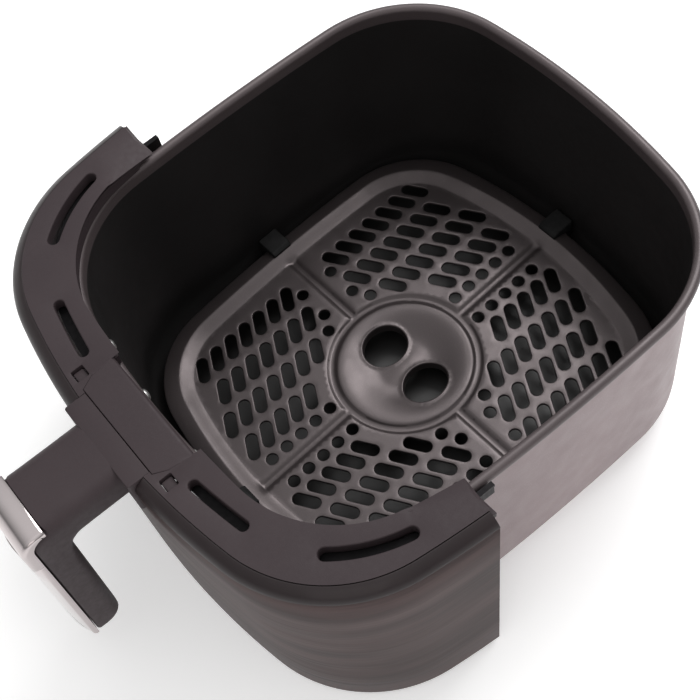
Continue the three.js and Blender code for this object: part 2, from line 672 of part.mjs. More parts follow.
// Steel sheet that hugs the pan's front wall, steps out round the bead and ends in a shelf.
function bracket() {
  const stepZ = RIVET_Z + 5.5;
  const clear = 0.4;
  const shelfEdge = BRACKET_STANDOFF + SHELF_WIDTH;
  const rings = [
    ovalRing(BEAD_LINE, wallOffset(BRACKET_FOOT_Z, false) + clear, BRACKET_FOOT_Z),
    ovalRing(BEAD_LINE, wallOffset(stepZ, false) + clear, stepZ),
    ovalRing(BEAD_LINE, BRACKET_STANDOFF, stepZ + 2.5),
    ovalRing(BEAD_LINE, BRACKET_STANDOFF, SHELF_TOP_Z),
    ovalRing(BEAD_LINE, shelfEdge, SHELF_TOP_Z),
    ovalRing(BEAD_LINE, shelfEdge, BRACKET_SHELF_Z),
    ovalRing(BEAD_LINE, BRACKET_STANDOFF + BRACKET_SHEET, BRACKET_SHELF_Z),
    ovalRing(BEAD_LINE, BRACKET_STANDOFF + BRACKET_SHEET, stepZ + 1.5),
    ovalRing(BEAD_LINE, wallOffset(stepZ, false) + clear + BRACKET_SHEET, stepZ - 1),
    ovalRing(BEAD_LINE, wallOffset(BRACKET_FOOT_Z, false) + clear + BRACKET_SHEET, BRACKET_FOOT_Z),
  ];
  const sheet = keep(skin(rings), block([-BEYOND, BEYOND], [-BEYOND, WING_END_Y], [0, BEYOND]));
  // Behind the fascia's ends only the upright wall goes on, as a short wing.
  const outside = BRACKET_STANDOFF + BRACKET_SHEET + BEAD_LINE.halfX + 0.2;
  const wing = [FASCIA_END_TOP - 1.5, 0];
  const trims = [
    block([-BEYOND, BEYOND], wing, [0, stepZ + 1.8]),
    block([outside, BEYOND], wing, [0, BEYOND]),
    block([-BEYOND, -outside], wing, [0, BEYOND]),
  ];
  const screwHoles = [...FRAME_SCREWS, ...HANDLE_SCREWS].map(([x, y]) =>
    uprightCylinder(SCREW_RADIUS + GAP, x, y, BRACKET_SHELF_Z - 5, SHELF_TOP_Z + 5, 8),
  );
  return cut(sheet, ...trims, ...RIVET_X.map(rivetHole), ...screwHoles);
}

function rivet(x) {
  const inside = -PAN_SHEET - GAP;
  const outside = BRACKET_SHEET + 0.4 + GAP;
  const shank = RIVET_HOLE_RADIUS - GAP;
  const profile = [
    [0, inside - 1.5],
    [1.8, inside - 1.3],
    [3, inside - 0.5],
    [3.2, inside],
    [shank, inside],
    [shank, outside],
    [2.9, outside],
    [2.6, outside + 1],
    [0, outside + 1.1],
  ];
  const geometry = new THREE.LatheGeometry(profile.map(([r, y]) => new THREE.Vector2(r, y)), 12);
  return placeOnFrontWall(geometry, x);
}

// A cross-head screw standing upright: shank radius, head above or below the shank.
function screw([x, y], headZ, tipZ) {
  const up = Math.sign(headZ - tipZ);
  const profile = [
    [0, headZ + up * SCREW_HEAD_HEIGHT],
    [SCREW_HEAD_RADIUS - 0.8, headZ + up * SCREW_HEAD_HEIGHT * 0.85],
    [SCREW_HEAD_RADIUS - 0.1, headZ + up * 0.6],
    [SCREW_HEAD_RADIUS, headZ],
    [SCREW_RADIUS, headZ],
    [SCREW_RADIUS, tipZ + up],
    [0, tipZ],
  ];
  const points = profile.map(([r, z]) => new THREE.Vector2(r, z));
  const ordered = up > 0 ? points.reverse() : points;
  return new THREE.LatheGeometry(ordered, 10).rotateX(Math.PI / 2).translate(x, y, 0);
}

// ---- handle ----

function roundedRectangle([x0, x1], [y0, y1], nearRadius, farRadius) {
  const shape = new THREE.Shape();
  shape.moveTo(x0 + nearRadius, y0);
  shape.lineTo(x1 - nearRadius, y0);
  shape.absarc(x1 - nearRadius, y0 + nearRadius, nearRadius, -Math.PI / 2, 0, false);
  shape.lineTo(x1, y1 - farRadius);
  shape.absarc(x1 - farRadius, y1 - farRadius, farRadius, 0, Math.PI / 2, false);
  shape.lineTo(x0 + farRadius, y1);
  shape.absarc(x0 + farRadius, y1 - farRadius, farRadius, Math.PI / 2, Math.PI, false);
  shape.lineTo(x0, y0 + nearRadius);
  shape.absarc(x0 + nearRadius, y0 + nearRadius, nearRadius, Math.PI, 1.5 * Math.PI, false);
  return shape;
}

// Leans a piece outwards below the ledge, in proportion to its depth.
function lean(geometry) {
  const shear = new THREE.Matrix4().makeShear(0, 0, 0, 0, 0, GRIP_LEAN);
  return geometry.translate(0, 0, -LEDGE_Z).applyMatrix4(shear).translate(0, 0, LEDGE_Z);
}

// The side view of the L: level arm, hanging grip and the step that the bright cap sits in.
function handleSide() {
  const side = new THREE.Shape();
  const root = COLLAR_BACK_Y - 1.6;
  side.moveTo(root, LEDGE_Z);
  side.lineTo(root, ARM_FOOT_Z);
  side.lineTo(GRIP_BACK_Y, ARM_FOOT_Z);
  side.lineTo(GRIP_BACK_Y, GRIP_FOOT_Z + 7);
  side.quadraticCurveTo(GRIP_BACK_Y, GRIP_FOOT_Z, GRIP_BACK_Y - 7, GRIP_FOOT_Z);
  side.lineTo(GRIP_FRONT_Y + 2, GRIP_FOOT_Z);
  side.quadraticCurveTo(GRIP_FRONT_Y, GRIP_FOOT_Z, GRIP_FRONT_Y, GRIP_FOOT_Z + 2);
  side.lineTo(GRIP_FRONT_Y, LEDGE_Z - 10);
  side.quadraticCurveTo(GRIP_FRONT_Y, CAP_SEAT_Z, GRIP_FRONT_Y + 7, CAP_SEAT_Z);
  side.lineTo(CAP_BACK_Y + GAP, CAP_SEAT_Z);
  side.lineTo(CAP_BACK_Y + GAP, LEDGE_Z);
  return side;
}

function handleBody() {
  const width = [-ARM_HALF, ARM_HALF];
  const armSection = roundedRectangle(width, [ARM_FOOT_Z, LEDGE_Z], 5, 7);
  const arm = prism(armSection, 0, 70).rotateX(Math.PI / 2).translate(0, COLLAR_BACK_Y, 0);
  const gripSection = roundedRectangle(width, [GRIP_FRONT_Y, GRIP_BACK_Y], 1, 5.5);
  const grip = prism(gripSection, GRIP_FOOT_Z - 5, LEDGE_Z - 7);
  const bars = keep(join(arm, grip), sideExtrusion(handleSide(), 30, 0));
  const fillet = 7;
  const corner = new THREE.Shape();
  corner.moveTo(GRIP_BACK_Y - 2, ARM_FOOT_Z + 2);
  corner.lineTo(GRIP_BACK_Y - 2, ARM_FOOT_Z - fillet);
  corner.lineTo(GRIP_BACK_Y, ARM_FOOT_Z - fillet);
  corner.quadraticCurveTo(GRIP_BACK_Y, ARM_FOOT_Z, GRIP_BACK_Y + fillet, ARM_FOOT_Z);
  corner.lineTo(GRIP_BACK_Y + fillet, ARM_FOOT_Z + 2);
  const web = sideExtrusion(corner, ARM_HALF - 5, 0);
  const collar = block([-COLLAR_HALF, COLLAR_HALF], [COLLAR_FRONT_Y, COLLAR_BACK_Y], [COLLAR_FOOT_Z, LEDGE_Z]);
  const tongueFoot = SHELF_TOP_Z + GAP;
  const tongueEnd = -BEAD_LINE.halfY - BRACKET_STANDOFF;
  const tongueSpan = [COLLAR_BACK_Y - 2, tongueEnd];
  const tongue = block([-TONGUE_HALF, TONGUE_HALF], tongueSpan, [tongueFoot, tongueFoot + TONGUE_SHEET]);
  const holes = HANDLE_SCREWS.map(([x, y]) =>
    uprightCylinder(SCREW_RADIUS + GAP, x, y, BRACKET_SHELF_Z, LEDGE_Z - 1, 8),
  );
  return cut(join(lean(join(bars, web)), collar, tongue), ...holes);
}

// A lid over the handle's root, level with the fascia and open underneath.
function handleCover() {
  const top = LEDGE_Z + COVER_RISE;
  const back = -MOUTH_EDGE.halfY + 0.4;
  const front = COLLAR_BACK_Y + GAP;
  const plan = new THREE.Shape([
    new THREE.Vector2(-NOTCH_HALF, back),
    new THREE.Vector2(-COVER_MIDDLE_HALF, COVER_MIDDLE_Y),
    new THREE.Vector2(-COVER_FRONT_HALF, front),
    new THREE.Vector2(COVER_FRONT_HALF, front),
    new THREE.Vector2(COVER_MIDDLE_HALF, COVER_MIDDLE_Y),
    new THREE.Vector2(NOTCH_HALF, back),
  ]);
  const outer = prism(plan, MOUTH_SKIRT_Z, top);
  const hollow = block([-TONGUE_HALF - 2, TONGUE_HALF + 2], [front + 1.2, back - 3], [0, top - 1.3]);
  const screwTop = SHELF_TOP_Z + 2 * GAP + TONGUE_SHEET + SCREW_HEAD_HEIGHT;
  const tongueWay = block([-TONGUE_HALF - 0.6, TONGUE_HALF + 0.6], [-BEYOND, back - 3], [0, screwTop + GAP]);
  const shelfWay = block([-BEYOND, BEYOND], [-BEYOND, back - 4], [0, SHELF_TOP_Z + GAP]);
  return cut(outer, hollow, tongueWay, shelfWay);
}

// Small catch beside the cover, seen through a window in the top frame; its foot rests on the bracket.
function coverCatch(side) {
  const edges = [side * (NOTCH_HALF + 0.6), side * (WINDOW_HALF - 0.5)].sort((a, b) => a - b);
  const foot = SHELF_TOP_Z + GAP;
  const front = COLLAR_BACK_Y + 0.8;
  const upright = block(edges, [front, WINDOW_BACK_Y - 0.4], [foot, LEDGE_Z - 1.8]);
  return join(upright, block(edges, [front, WINDOW_BACK_Y + 5], [foot, foot + 2]));
}

function chromeCap() {
  const top = LEDGE_Z + COVER_RISE;
  const seat = CAP_SEAT_Z + GAP;
  const side = new THREE.Shape();
  side.moveTo(CAP_BACK_Y, top);
  side.lineTo(CAP_BACK_Y, seat);
  side.lineTo(GRIP_FRONT_Y + 7, seat);
  side.quadraticCurveTo(GRIP_FRONT_Y - GAP, seat, GRIP_FRONT_Y - GAP, LEDGE_Z - 10);
  side.lineTo(GRIP_FRONT_Y - GAP, CAP_FOOT_Z);
  side.lineTo(TRIM_FRONT_Y + 1.2, CAP_FOOT_Z);
  side.lineTo(TRIM_FRONT_Y + 1.2, LEDGE_Z - 9);
  side.quadraticCurveTo(TRIM_FRONT_Y + 1.2, top, TRIM_FRONT_Y + 10, top);
  return lean(sideExtrusion(side, ARM_HALF, 1, 1));
}

function chromeStrip() {
  const back = GRIP_FRONT_Y - GAP;
  const plan = new THREE.Shape();
  plan.moveTo(-ARM_HALF, back);
  plan.lineTo(ARM_HALF, back);
  plan.lineTo(ARM_HALF, back - 2.5);
  plan.quadraticCurveTo(0, 2 * TRIM_FRONT_Y - back + 2.5, -ARM_HALF, back - 2.5);
  return lean(prism(plan, GRIP_FOOT_Z - 1, CAP_FOOT_Z - GAP, 10));
}

// ---- assembly ----

const drawer = new THREE.Group();

function addPiece(name, geometry, colour) {
  const mesh = new THREE.Mesh(geometry, new THREE.MeshStandardMaterial(COLOURS[colour]));
  mesh.name = name;
  drawer.add(mesh);
}

addPiece("pan", pan(), "coating");
addPiece("crisper_plate", crisperPlate().rotateZ(CRISPER_TURN), "plate");

const sideBumper = [BEVEL_EDGE.halfX, FLANGE_EDGE.halfX, BEAD_LINE.halfX];
const endBumper = [BEVEL_EDGE.halfY, FLANGE_EDGE.halfY, BEAD_LINE.halfY];
addPiece("bumper_right", bumper(...sideBumper, 0), "silicone");
addPiece("bumper_back", bumper(...endBumper, Math.PI / 2), "silicone");
addPiece("bumper_left", bumper(...sideBumper, Math.PI), "silicone");
addPiece("bumper_front", bumper(...endBumper, -Math.PI / 2), "silicone");

addPiece("top_frame", topFrame(), "matt");
addPiece("trim_band_right", trimBand(1), "gloss");
addPiece("trim_band_left", trimBand(-1), "gloss");
addPiece("front_panel", frontPanel(), "brushed");
addPiece("bracket", bracket(), "steel");
RIVET_X.forEach((x, i) => addPiece(`pan_rivet_${i + 1}`, rivet(x), "steel"));

FRAME_SCREWS.forEach((place, i) => {
  addPiece(`frame_screw_${i + 1}`, screw(place, BRACKET_SHELF_Z - GAP, LEDGE_Z - 2.2), "steel");
});

addPiece("handle_body", handleBody(), "matt");
addPiece("handle_cover", handleCover(), "matt");
const handleScrewSeat = SHELF_TOP_Z + 2 * GAP + TONGUE_SHEET;
HANDLE_SCREWS.forEach((place, i) => {
  addPiece(`handle_screw_${i + 1}`, screw(place, handleScrewSeat, BRACKET_SHELF_Z - 3.5), "steel");
});
addPiece("cover_catch_right", coverCatch(1), "matt");
addPiece("cover_catch_left", coverCatch(-1), "matt");
addPiece("chrome_cap", chromeCap(), "chrome");
addPiece("chrome_strip", chromeStrip(), "chrome");

export default drawer;
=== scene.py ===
"""Looks of the air fryer drawer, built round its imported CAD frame. Lengths here are in millimetres
and turned into metres where a mesh is made; the frame's own values are in metres."""

import math

import bmesh
import bpy
import numpy as np
from mathutils import Matrix, Vector
from mathutils.geometry import delaunay_2d_cdt


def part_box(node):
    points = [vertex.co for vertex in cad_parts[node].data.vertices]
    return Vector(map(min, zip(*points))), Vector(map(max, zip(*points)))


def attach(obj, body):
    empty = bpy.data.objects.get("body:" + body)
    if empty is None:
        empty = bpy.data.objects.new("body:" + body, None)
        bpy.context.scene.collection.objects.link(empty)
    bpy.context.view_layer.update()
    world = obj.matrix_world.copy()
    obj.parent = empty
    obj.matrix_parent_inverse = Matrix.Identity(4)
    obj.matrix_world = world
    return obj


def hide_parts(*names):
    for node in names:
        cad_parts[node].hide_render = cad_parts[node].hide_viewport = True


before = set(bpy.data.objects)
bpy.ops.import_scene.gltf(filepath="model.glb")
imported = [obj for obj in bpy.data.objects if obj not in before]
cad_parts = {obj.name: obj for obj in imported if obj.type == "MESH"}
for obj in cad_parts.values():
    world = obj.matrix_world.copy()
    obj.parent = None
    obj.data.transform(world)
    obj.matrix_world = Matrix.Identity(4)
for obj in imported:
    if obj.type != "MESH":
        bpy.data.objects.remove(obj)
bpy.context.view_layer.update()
MM = 0.001

# ---- driving dimensions, as in the CAD design ----

# Squared ovals: half length in X and Y, radius of the sides, of the ends and of the corners.
BEAD_LINE = (116.4, 125.0, 1250.0, 405.0, 63.3)
PANEL_EDGE = (90.0, 98.0, 900.0, 235.0, 35.0)
BEVEL_EDGE = (97.6, 105.6, 907.6, 245.0, 42.6)
FLANGE_EDGE = (105.4, 113.4, 1000.0, 300.0, 50.4)
FASCIA_EDGE = (140.15, 153.25, 612.95, 379.95, 72.25)
SEAM_LINE = (133.3, 146.4, 606.1, 373.1, 65.4)
MOUTH_EDGE = (118.1, 123.9, 436.0, 704.0, 62.4)

BEAD_RADIUS = 2.6
BEAD_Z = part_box("pan")[1].z / MM - BEAD_RADIUS
PAN_SHEET = 1.2
PAN_TAPER = math.tan(math.radians(1))
PAN_FILLET = 21.0
CRISPER_TURN = math.radians(3.5)
PLATE_Z = 20.5
PLATE_SHEET = 1.4
BEVEL_RISE = 2.8
FLANGE_RISE = 0.5
LEDGE_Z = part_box("top_frame")[1].z / MM
GAP = 0.3


# ---- outlines ----

SIDE_STEPS = 20
CORNER_STEPS = 28
END_STEPS = 28


def oval_arcs(outline):
    """Centres of the side, end and corner arcs in the first quadrant, and the two turning angles."""
    half_x, half_y, side_r, end_r, corner_r = outline
    side = np.array([half_x - side_r, 0.0])
    end = np.array([0.0, half_y - end_r])
    apart = np.linalg.norm(end - side)
    from_side = side_r - corner_r
    from_end = end_r - corner_r
    along = (from_side**2 - from_end**2 + apart**2) / (2 * apart)
    across = math.sqrt(from_side**2 - along**2)
    direction = (end - side) / apart
    normal = np.array([abs(direction[1]), direction[0]])
    corner = side + direction * along + normal * across
    side_angle = math.atan2(corner[1] - side[1], corner[0] - side[0])
    end_angle = math.atan2(corner[1] - end[1], corner[0] - end[0])
    return side, end, corner, side_angle, end_angle


def arc(centre, radius, start, stop, steps):
    angles = np.linspace(start, stop, steps + 1)
    return centre + radius * np.stack([np.cos(angles), np.sin(angles)], 1)


def oval(outline, offset=0.0):
    """The whole outline as an (n, 2) loop, counter-clockwise, moved outwards by offset."""
    side, end, corner, side_angle, end_angle = oval_arcs(outline)
    quarter = np.concatenate([
        arc(side, outline[2] + offset, 0, side_angle, SIDE_STEPS),
        arc(corner, outline[4] + offset, side_angle, end_angle, CORNER_STEPS)[1:],
        arc(end, outline[3] + offset, end_angle, math.pi / 2, END_STEPS)[1:],
    ])
    half = np.concatenate([quarter, (quarter * [-1, 1])[::-1][1:]])
    return np.concatenate([half, (half * [1, -1])[::-1][1:-1]])


def front_path(outline, offset, end_y, stop_x=0.0):
    """Half of the outline's front, from the right end at y = end_y round to x = stop_x."""
    side, end, corner, side_angle, end_angle = oval_arcs(outline)
    start = math.asin(-end_y / (outline[2] + offset))
    stop = math.acos(stop_x / (outline[3] + offset))
    half = np.concatenate([
        arc(side, outline[2] + offset, start, side_angle, SIDE_STEPS),
        arc(corner, outline[4] + offset, side_angle, end_angle, CORNER_STEPS)[1:],
        arc(end, outline[3] + offset, end_angle, stop, END_STEPS)[1:],
    ])
    return half * [1, -1]


def whole_front(outline, offset, end_y):
    """The outline's front from its right end round to its left end."""
    half = front_path(outline, offset, end_y)
    return np.concatenate([half, (half * [-1, 1])[::-1][1:]])


def capsule(length, width, steps):
    reach = (length - width) / 2
    right = arc(np.array([reach, 0.0]), width / 2, -math.pi / 2, math.pi / 2, steps)
    return np.concatenate([right, -right])


def circle(radius, steps):
    return arc(np.zeros(2), radius, 0, 2 * math.pi, steps)[:-1]


def rectangle(x0, x1, y0, y1):
    return [(x0, y0), (x1, y0), (x1, y1), (x0, y1)]


def turned(points, angle):
    c, s = math.cos(angle), math.sin(angle)
    return points @ np.array([[c, s], [-s, c]])


def unit(vectors):
    return vectors / np.linalg.norm(vectors, axis=-1, keepdims=True)


def offset_loop(loop, distance):
    """A counter-clockwise loop moved outwards by distance, with mitred corners."""
    before = np.roll(loop, 1, 0)
    after = np.roll(loop, -1, 0)
    first = unit(loop - before)
    second = unit(after - loop)
    normal_a = np.stack([first[:, 1], -first[:, 0]], 1)
    normal_b = np.stack([second[:, 1], -second[:, 0]], 1)
    mitre = normal_a + normal_b
    mitre /= np.maximum((mitre * normal_a).sum(1, keepdims=True), 0.35)
    return loop + distance * mitre


def rounded_corners(points, radii, steps=6):
    """A counter-clockwise polygon with each corner turned into an arc of its own radius."""
    points = np.array(points, float)
    loop = []
    for i, (point, radius) in enumerate(zip(points, np.broadcast_to(radii, len(points)))):
        to_prev = unit(points[i - 1] - point)
        to_next = unit(points[(i + 1) % len(points)] - point)
        half = math.acos(np.clip(to_prev @ to_next, -1, 1)) / 2
        if radius <= 0 or half > math.radians(88):
            loop.append(point)
            continue
        reach = radius / math.tan(half)
        bisector = unit(to_prev + to_next)
        centre = point + bisector * radius / math.sin(half)
        a = point + to_prev * reach - centre
        b = point + to_next * reach - centre
        start = math.atan2(a[1], a[0])
        sweep = (math.atan2(b[1], b[0]) - start + math.pi) % (2 * math.pi) - math.pi
        loop.extend(arc(centre, radius, start, start + sweep, steps))
    return np.array(loop)


# ---- mesh building ----


def make_object(name, points, faces, smooth=True, sharp_angle=40):
    """A mesh object from points in millimetres, with normals facing out and soft shading."""
    mesh = bpy.data.meshes.new(name)
    mesh.from_pydata([tuple(p) for p in np.asarray(points) * MM], [], [tuple(f) for f in faces])
    build = bmesh.new()
    build.from_mesh(mesh)
    bmesh.ops.remove_doubles(build, verts=build.verts, dist=1e-6)
    bmesh.ops.recalc_face_normals(build, faces=build.faces)
    build.to_mesh(mesh)
    build.free()
    if smooth:
        mesh.shade_smooth()
        mesh.set_sharp_from_angle(angle=math.radians(sharp_angle))
    item = bpy.data.objects.new(name, mesh)
    bpy.context.scene.collection.objects.link(item)
    return item


def with_z(points, z):
    points = np.asarray(points, float)
    heights = np.broadcast_to(np.asarray(z, float), len(points))
    return np.column_stack([points, heights])


def skin(rings, capped=False):
    """Points and faces of a skin through rings; a capped one has both its ends closed."""
    count = len(rings[0])
    points = list(np.concatenate(rings))
    faces = []
    for r in range(len(rings) - 1):
        a, b = r * count, (r + 1) * count
        faces.extend((a + i, a + (i + 1) % count, b + (i + 1) % count, b + i) for i in range(count))
    if capped:
        faces.append(tuple(range(count)))
        faces.append(tuple(range(len(points) - count, len(points))))
    return points, faces


def joined(*parts):
    points, faces = [], []
    for part_points, part_faces in parts:
        start = len(points)
        points.extend(part_points)
        faces.extend(tuple(start + i for i in face) for face in part_faces)
    return points, faces


def turn_profile(profile, steps=32):
    """Points and faces of a (radius, height) profile turned about Z; ends at radius 0 are closed."""
    rings = [with_z(circle(max(r, 1e-3), steps), z) for r, z in profile]
    return skin(rings, capped=True)


def inside_loop(points, loop):
    """Which points lie inside a polygon, by counting crossings."""
    x, y = points[:, 0][:, None], points[:, 1][:, None]
    x0, y0 = loop[:, 0], loop[:, 1]
    x1, y1 = np.roll(x0, -1), np.roll(y0, -1)
    crosses = (y0 > y) != (y1 > y)
    with np.errstate(divide="ignore", invalid="ignore"):
        at = x0 + (y - y0) * (x1 - x0) / (y1 - y0)
    return (crosses & (x < at)).sum(1) % 2 == 1


def thinned(points, kept, spacing):
    """Those points that keep a least spacing from the kept ones and from each other."""
    cells = {}
    taken = []

    def is_free(p):
        cx, cy = int(p[0] // spacing), int(p[1] // spacing)
        for i in (cx - 1, cx, cx + 1):
            for j in (cy - 1, cy, cy + 1):
                for q in cells.get((i, j), ()):
                    if (p[0] - q[0]) ** 2 + (p[1] - q[1]) ** 2 < spacing**2:
                        return False
        return True

    def take(p):
        cells.setdefault((int(p[0] // spacing), int(p[1] // spacing)), []).append(p)

    for p in kept:
        take(p)
    for p in points:
        if is_free(p):
            take(p)
            taken.append(p)
    return np.array(taken).reshape(-1, 2)


def sheet_faces(boundary, holes, extra=()):
    """Triangulates the area inside boundary and outside the holes. The loops' points come first."""
    loops = [boundary, *holes]
    points = np.concatenate(loops)
    edges = []
    start = 0
    for loop in loops:
        count = len(loop)
        edges.extend((start + i, start + (i + 1) % count) for i in range(count))
        start += count
    if len(extra):
        points = np.concatenate([points, extra])
    result = delaunay_2d_cdt([Vector(p) for p in points], edges, [], 0, 1e-7)
    out = np.array([tuple(v) for v in result[0]])
    triangles = np.array(result[2])
    middles = out[triangles].mean(1)
    keep = inside_loop(middles, boundary)
    for loop in holes:
        low, high = loop.min(0), loop.max(0)
        near = np.where(keep & (middles > low).all(1) & (middles < high).all(1))[0]
        keep[near[inside_loop(middles[near], loop)]] = False
    return out, triangles[keep]


def flat(points):
    return np.zeros(len(points))


def shell(boundary, chain, holes=(), extra=(), height=flat, open_edge=False):
    """A sheet with rolled edges. Each chain lists (inset, z) from the top face round to the under
    face, where either may be a function of the loop. Holes are (loop, chain) pairs whose inset runs
    into the sheet. Loops are the true edges. With open_edge the boundary gets no edge face."""
    parts = []

    def moved(loop, inset, side):
        return offset_loop(loop, side * (inset(loop) if callable(inset) else inset))

    for face_index in (0, -1):
        outer = moved(boundary, chain[face_index][0], -1)
        inner = [moved(loop, hole_chain[face_index][0], 1) for loop, hole_chain in holes]
        points, triangles = sheet_faces(outer, inner, extra)
        z = chain[face_index][1] + height(points)
        parts.append((list(with_z(points, z)), [tuple(t) for t in triangles]))
    edges = [(loop, hole_chain, 1) for loop, hole_chain in holes]
    if not open_edge:
        edges.insert(0, (boundary, chain, -1))
    for loop, edge_chain, side in edges:
        rings = []
        for inset, z in edge_chain:
            ring = moved(loop, inset, side)
            level = z(ring) if callable(z) else z + height(ring)
            rings.append(with_z(ring, level))
        parts.append(skin(rings))
    return joined(*parts)


def rolled_edge(radii, top, height=flat, steps=8):
    """Start of an edge chain whose rounding has its own radius at each point of the loop."""

    def entry(angle):
        inset = (radii * (1 - math.sin(angle)))[:, None]
        return lambda loop: inset, lambda ring: top - radii * (1 - math.cos(angle)) + height(ring)

    chain = [entry(angle) for angle in np.linspace(0, math.pi / 2, steps)]
    chain[0] = (chain[0][0], top)
    return chain


def edge_arc(top, radius, steps):
    """Start of an edge chain: a quarter round from the top face down to the side."""
    chain = []
    for i in range(steps + 1):
        angle = math.pi / 2 * i / steps
        chain.append((radius * (1 - math.sin(angle)), top - radius * (1 - math.cos(angle))))
    return chain


def rounded_chain(top, foot, radius, steps=4):
    """Edge chain of a slab: rounded at the top edge, square at the foot."""
    return [*edge_arc(top, radius, steps), (0.0, foot + 0.15), (0.15, foot)]


def cut_away(target, cutter):
    """Takes the cutter's shape out of the target, and removes the cutter."""
    modifier = target.modifiers.new("cut", "BOOLEAN")
    modifier.operation = "DIFFERENCE"
    modifier.solver = "EXACT"
    modifier.object = cutter
    apply_modifiers(target)
    bpy.data.objects.remove(cutter)


def soften(target, width, segments, angle):
    """Rounds every edge sharper than the angle."""
    modifier = target.modifiers.new("round", "BEVEL")
    modifier.width = width * MM
    modifier.segments = segments
    modifier.limit_method = "ANGLE"
    modifier.angle_limit = math.radians(angle)
    modifier.use_clamp_overlap = True
    apply_modifiers(target)
    target.data.shade_smooth()
    target.data.set_sharp_from_angle(angle=math.radians(40))


def apply_modifiers(target):
    graph = bpy.context.evaluated_depsgraph_get()
    mesh = bpy.data.meshes.new_from_object(target.evaluated_get(graph))
    target.modifiers.clear()
    target.data = mesh


def place(item, body, node, material):
    """Puts a finished piece in for a CAD node."""
    item.data.materials.clear()
    item.data.materials.append(material)
    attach(item, body)
    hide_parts(node)


# ---- materials ----


class Nodes:
    """Short hand for building one material's node tree."""

    def __init__(self, name):
        self.material = bpy.data.materials.new(name)
        self.material.use_nodes = True
        self.tree = self.material.node_tree
        self.shader = self.tree.nodes["Principled BSDF"]
        self.coords = self.tree.nodes.new("ShaderNodeTexCoord").outputs["Object"]

    def link(self, source, target):
        self.tree.links.new(source, target)

    def mapped(self, scale):
        node = self.tree.nodes.new("ShaderNodeMapping")
        node.inputs["Scale"].default_value = scale
        self.link(self.coords, node.inputs["Vector"])
        return node.outputs["Vector"]

    def noise(self, scale, detail, rough=0.5, stretch=None):
        node = self.tree.nodes.new("ShaderNodeTexNoise")
        node.inputs["Scale"].default_value = scale
        node.inputs["Detail"].default_value = detail
        node.inputs["Roughness"].default_value = rough
        self.link(self.mapped(stretch) if stretch else self.coords, node.inputs["Vector"])
        return node.outputs["Fac"]

    def voronoi(self, scale):
        node = self.tree.nodes.new("ShaderNodeTexVoronoi")
        node.inputs["Scale"].default_value = scale
        self.link(self.coords, node.inputs["Vector"])
        return node.outputs["Distance"]

    def blend(self, source, first, second, start=0.3, stop=0.7):
        """Runs from the first colour to the second while the source runs from start to stop."""
        node = self.tree.nodes.new("ShaderNodeValToRGB")
        stops = ((start, first), (stop, second))
        for element, (position, colour) in zip(node.color_ramp.elements, stops):
            element.position = position
            element.color = (*colour, 1)
        self.link(source, node.inputs["Fac"])
        return node.outputs["Color"]

    def spread(self, source, low, high, start=0.3, stop=0.7):
        node = self.tree.nodes.new("ShaderNodeMapRange")
        for key, value in (("From Min", start), ("From Max", stop), ("To Min", low), ("To Max", high)):
            node.inputs[key].default_value = value
        self.link(source, node.inputs["Value"])
        return node.outputs["Result"]

    def mix(self, factor, first, second, blend="MIX"):
        node = self.tree.nodes.new("ShaderNodeMix")
        node.data_type = "RGBA"
        node.blend_type = blend
        for socket, value in ((node.inputs[0], factor), (node.inputs[6], first), (node.inputs[7], second)):
            if hasattr(value, "is_output"):
                self.link(value, socket)
            else:
                socket.default_value = value if isinstance(value, float) else (*value, 1)
        return node.outputs[2]

    def bump(self, sources):
        """Stacks bumps given as (height output, strength, distance in mm)."""
        normal = None
        for height, strength, distance in sources:
            node = self.tree.nodes.new("ShaderNodeBump")
            node.inputs["Strength"].default_value = strength
            node.inputs["Distance"].default_value = distance * MM
            self.link(height, node.inputs["Height"])
            if normal:
                self.link(normal, node.inputs["Normal"])
            normal = node.outputs["Normal"]
        self.link(normal, self.shader.inputs["Normal"])

    def set(self, **values):
        for key, value in values.items():
            socket = self.shader.inputs[key.replace("_", " ")]
            if hasattr(value, "is_output"):
                self.link(value, socket)
            else:
                socket.default_value = value
        return self.material


def coating_material(name, dark, light, rough, metal, flake=0.25):
    """Non-stick coating: faint clouding, fine metallic fleck and a fine sprayed grain."""
    n = Nodes(name)
    cloud = n.noise(14, 1)
    fleck = n.noise(2600, 1)
    base = n.blend(cloud, dark, light)
    bright = tuple(min(1, c * 1.9) for c in light)
    flecked = n.mix(n.spread(fleck, 0, flake, 0.56, 0.75), base, bright)
    n.bump([(n.noise(1500, 2), 0.12, 0.05), (n.noise(60, 2), 0.05, 0.5)])
    return n.set(
        Base_Color=flecked,
        Metallic=metal,
        Roughness=n.spread(n.noise(90, 4), rough - 0.05, rough + 0.07),
    )


def moulded_material(name, dark, light, rough, grain=0.14):
    """Spark-textured moulded plastic."""
    n = Nodes(name)
    base = n.blend(n.noise(18, 4), dark, light)
    speck = tuple(min(1, c * 1.25) for c in light)
    n.bump([(n.noise(1900, 3), grain, 0.12), (n.voronoi(1300), grain * 0.6, 0.08)])
    return n.set(
        Base_Color=n.mix(n.spread(n.noise(1700, 1), 0, 0.35, 0.5, 0.8), base, speck),
        Specular_IOR_Level=0.22,
        Roughness=n.spread(n.noise(420, 3), rough - 0.06, rough + 0.08),
    )


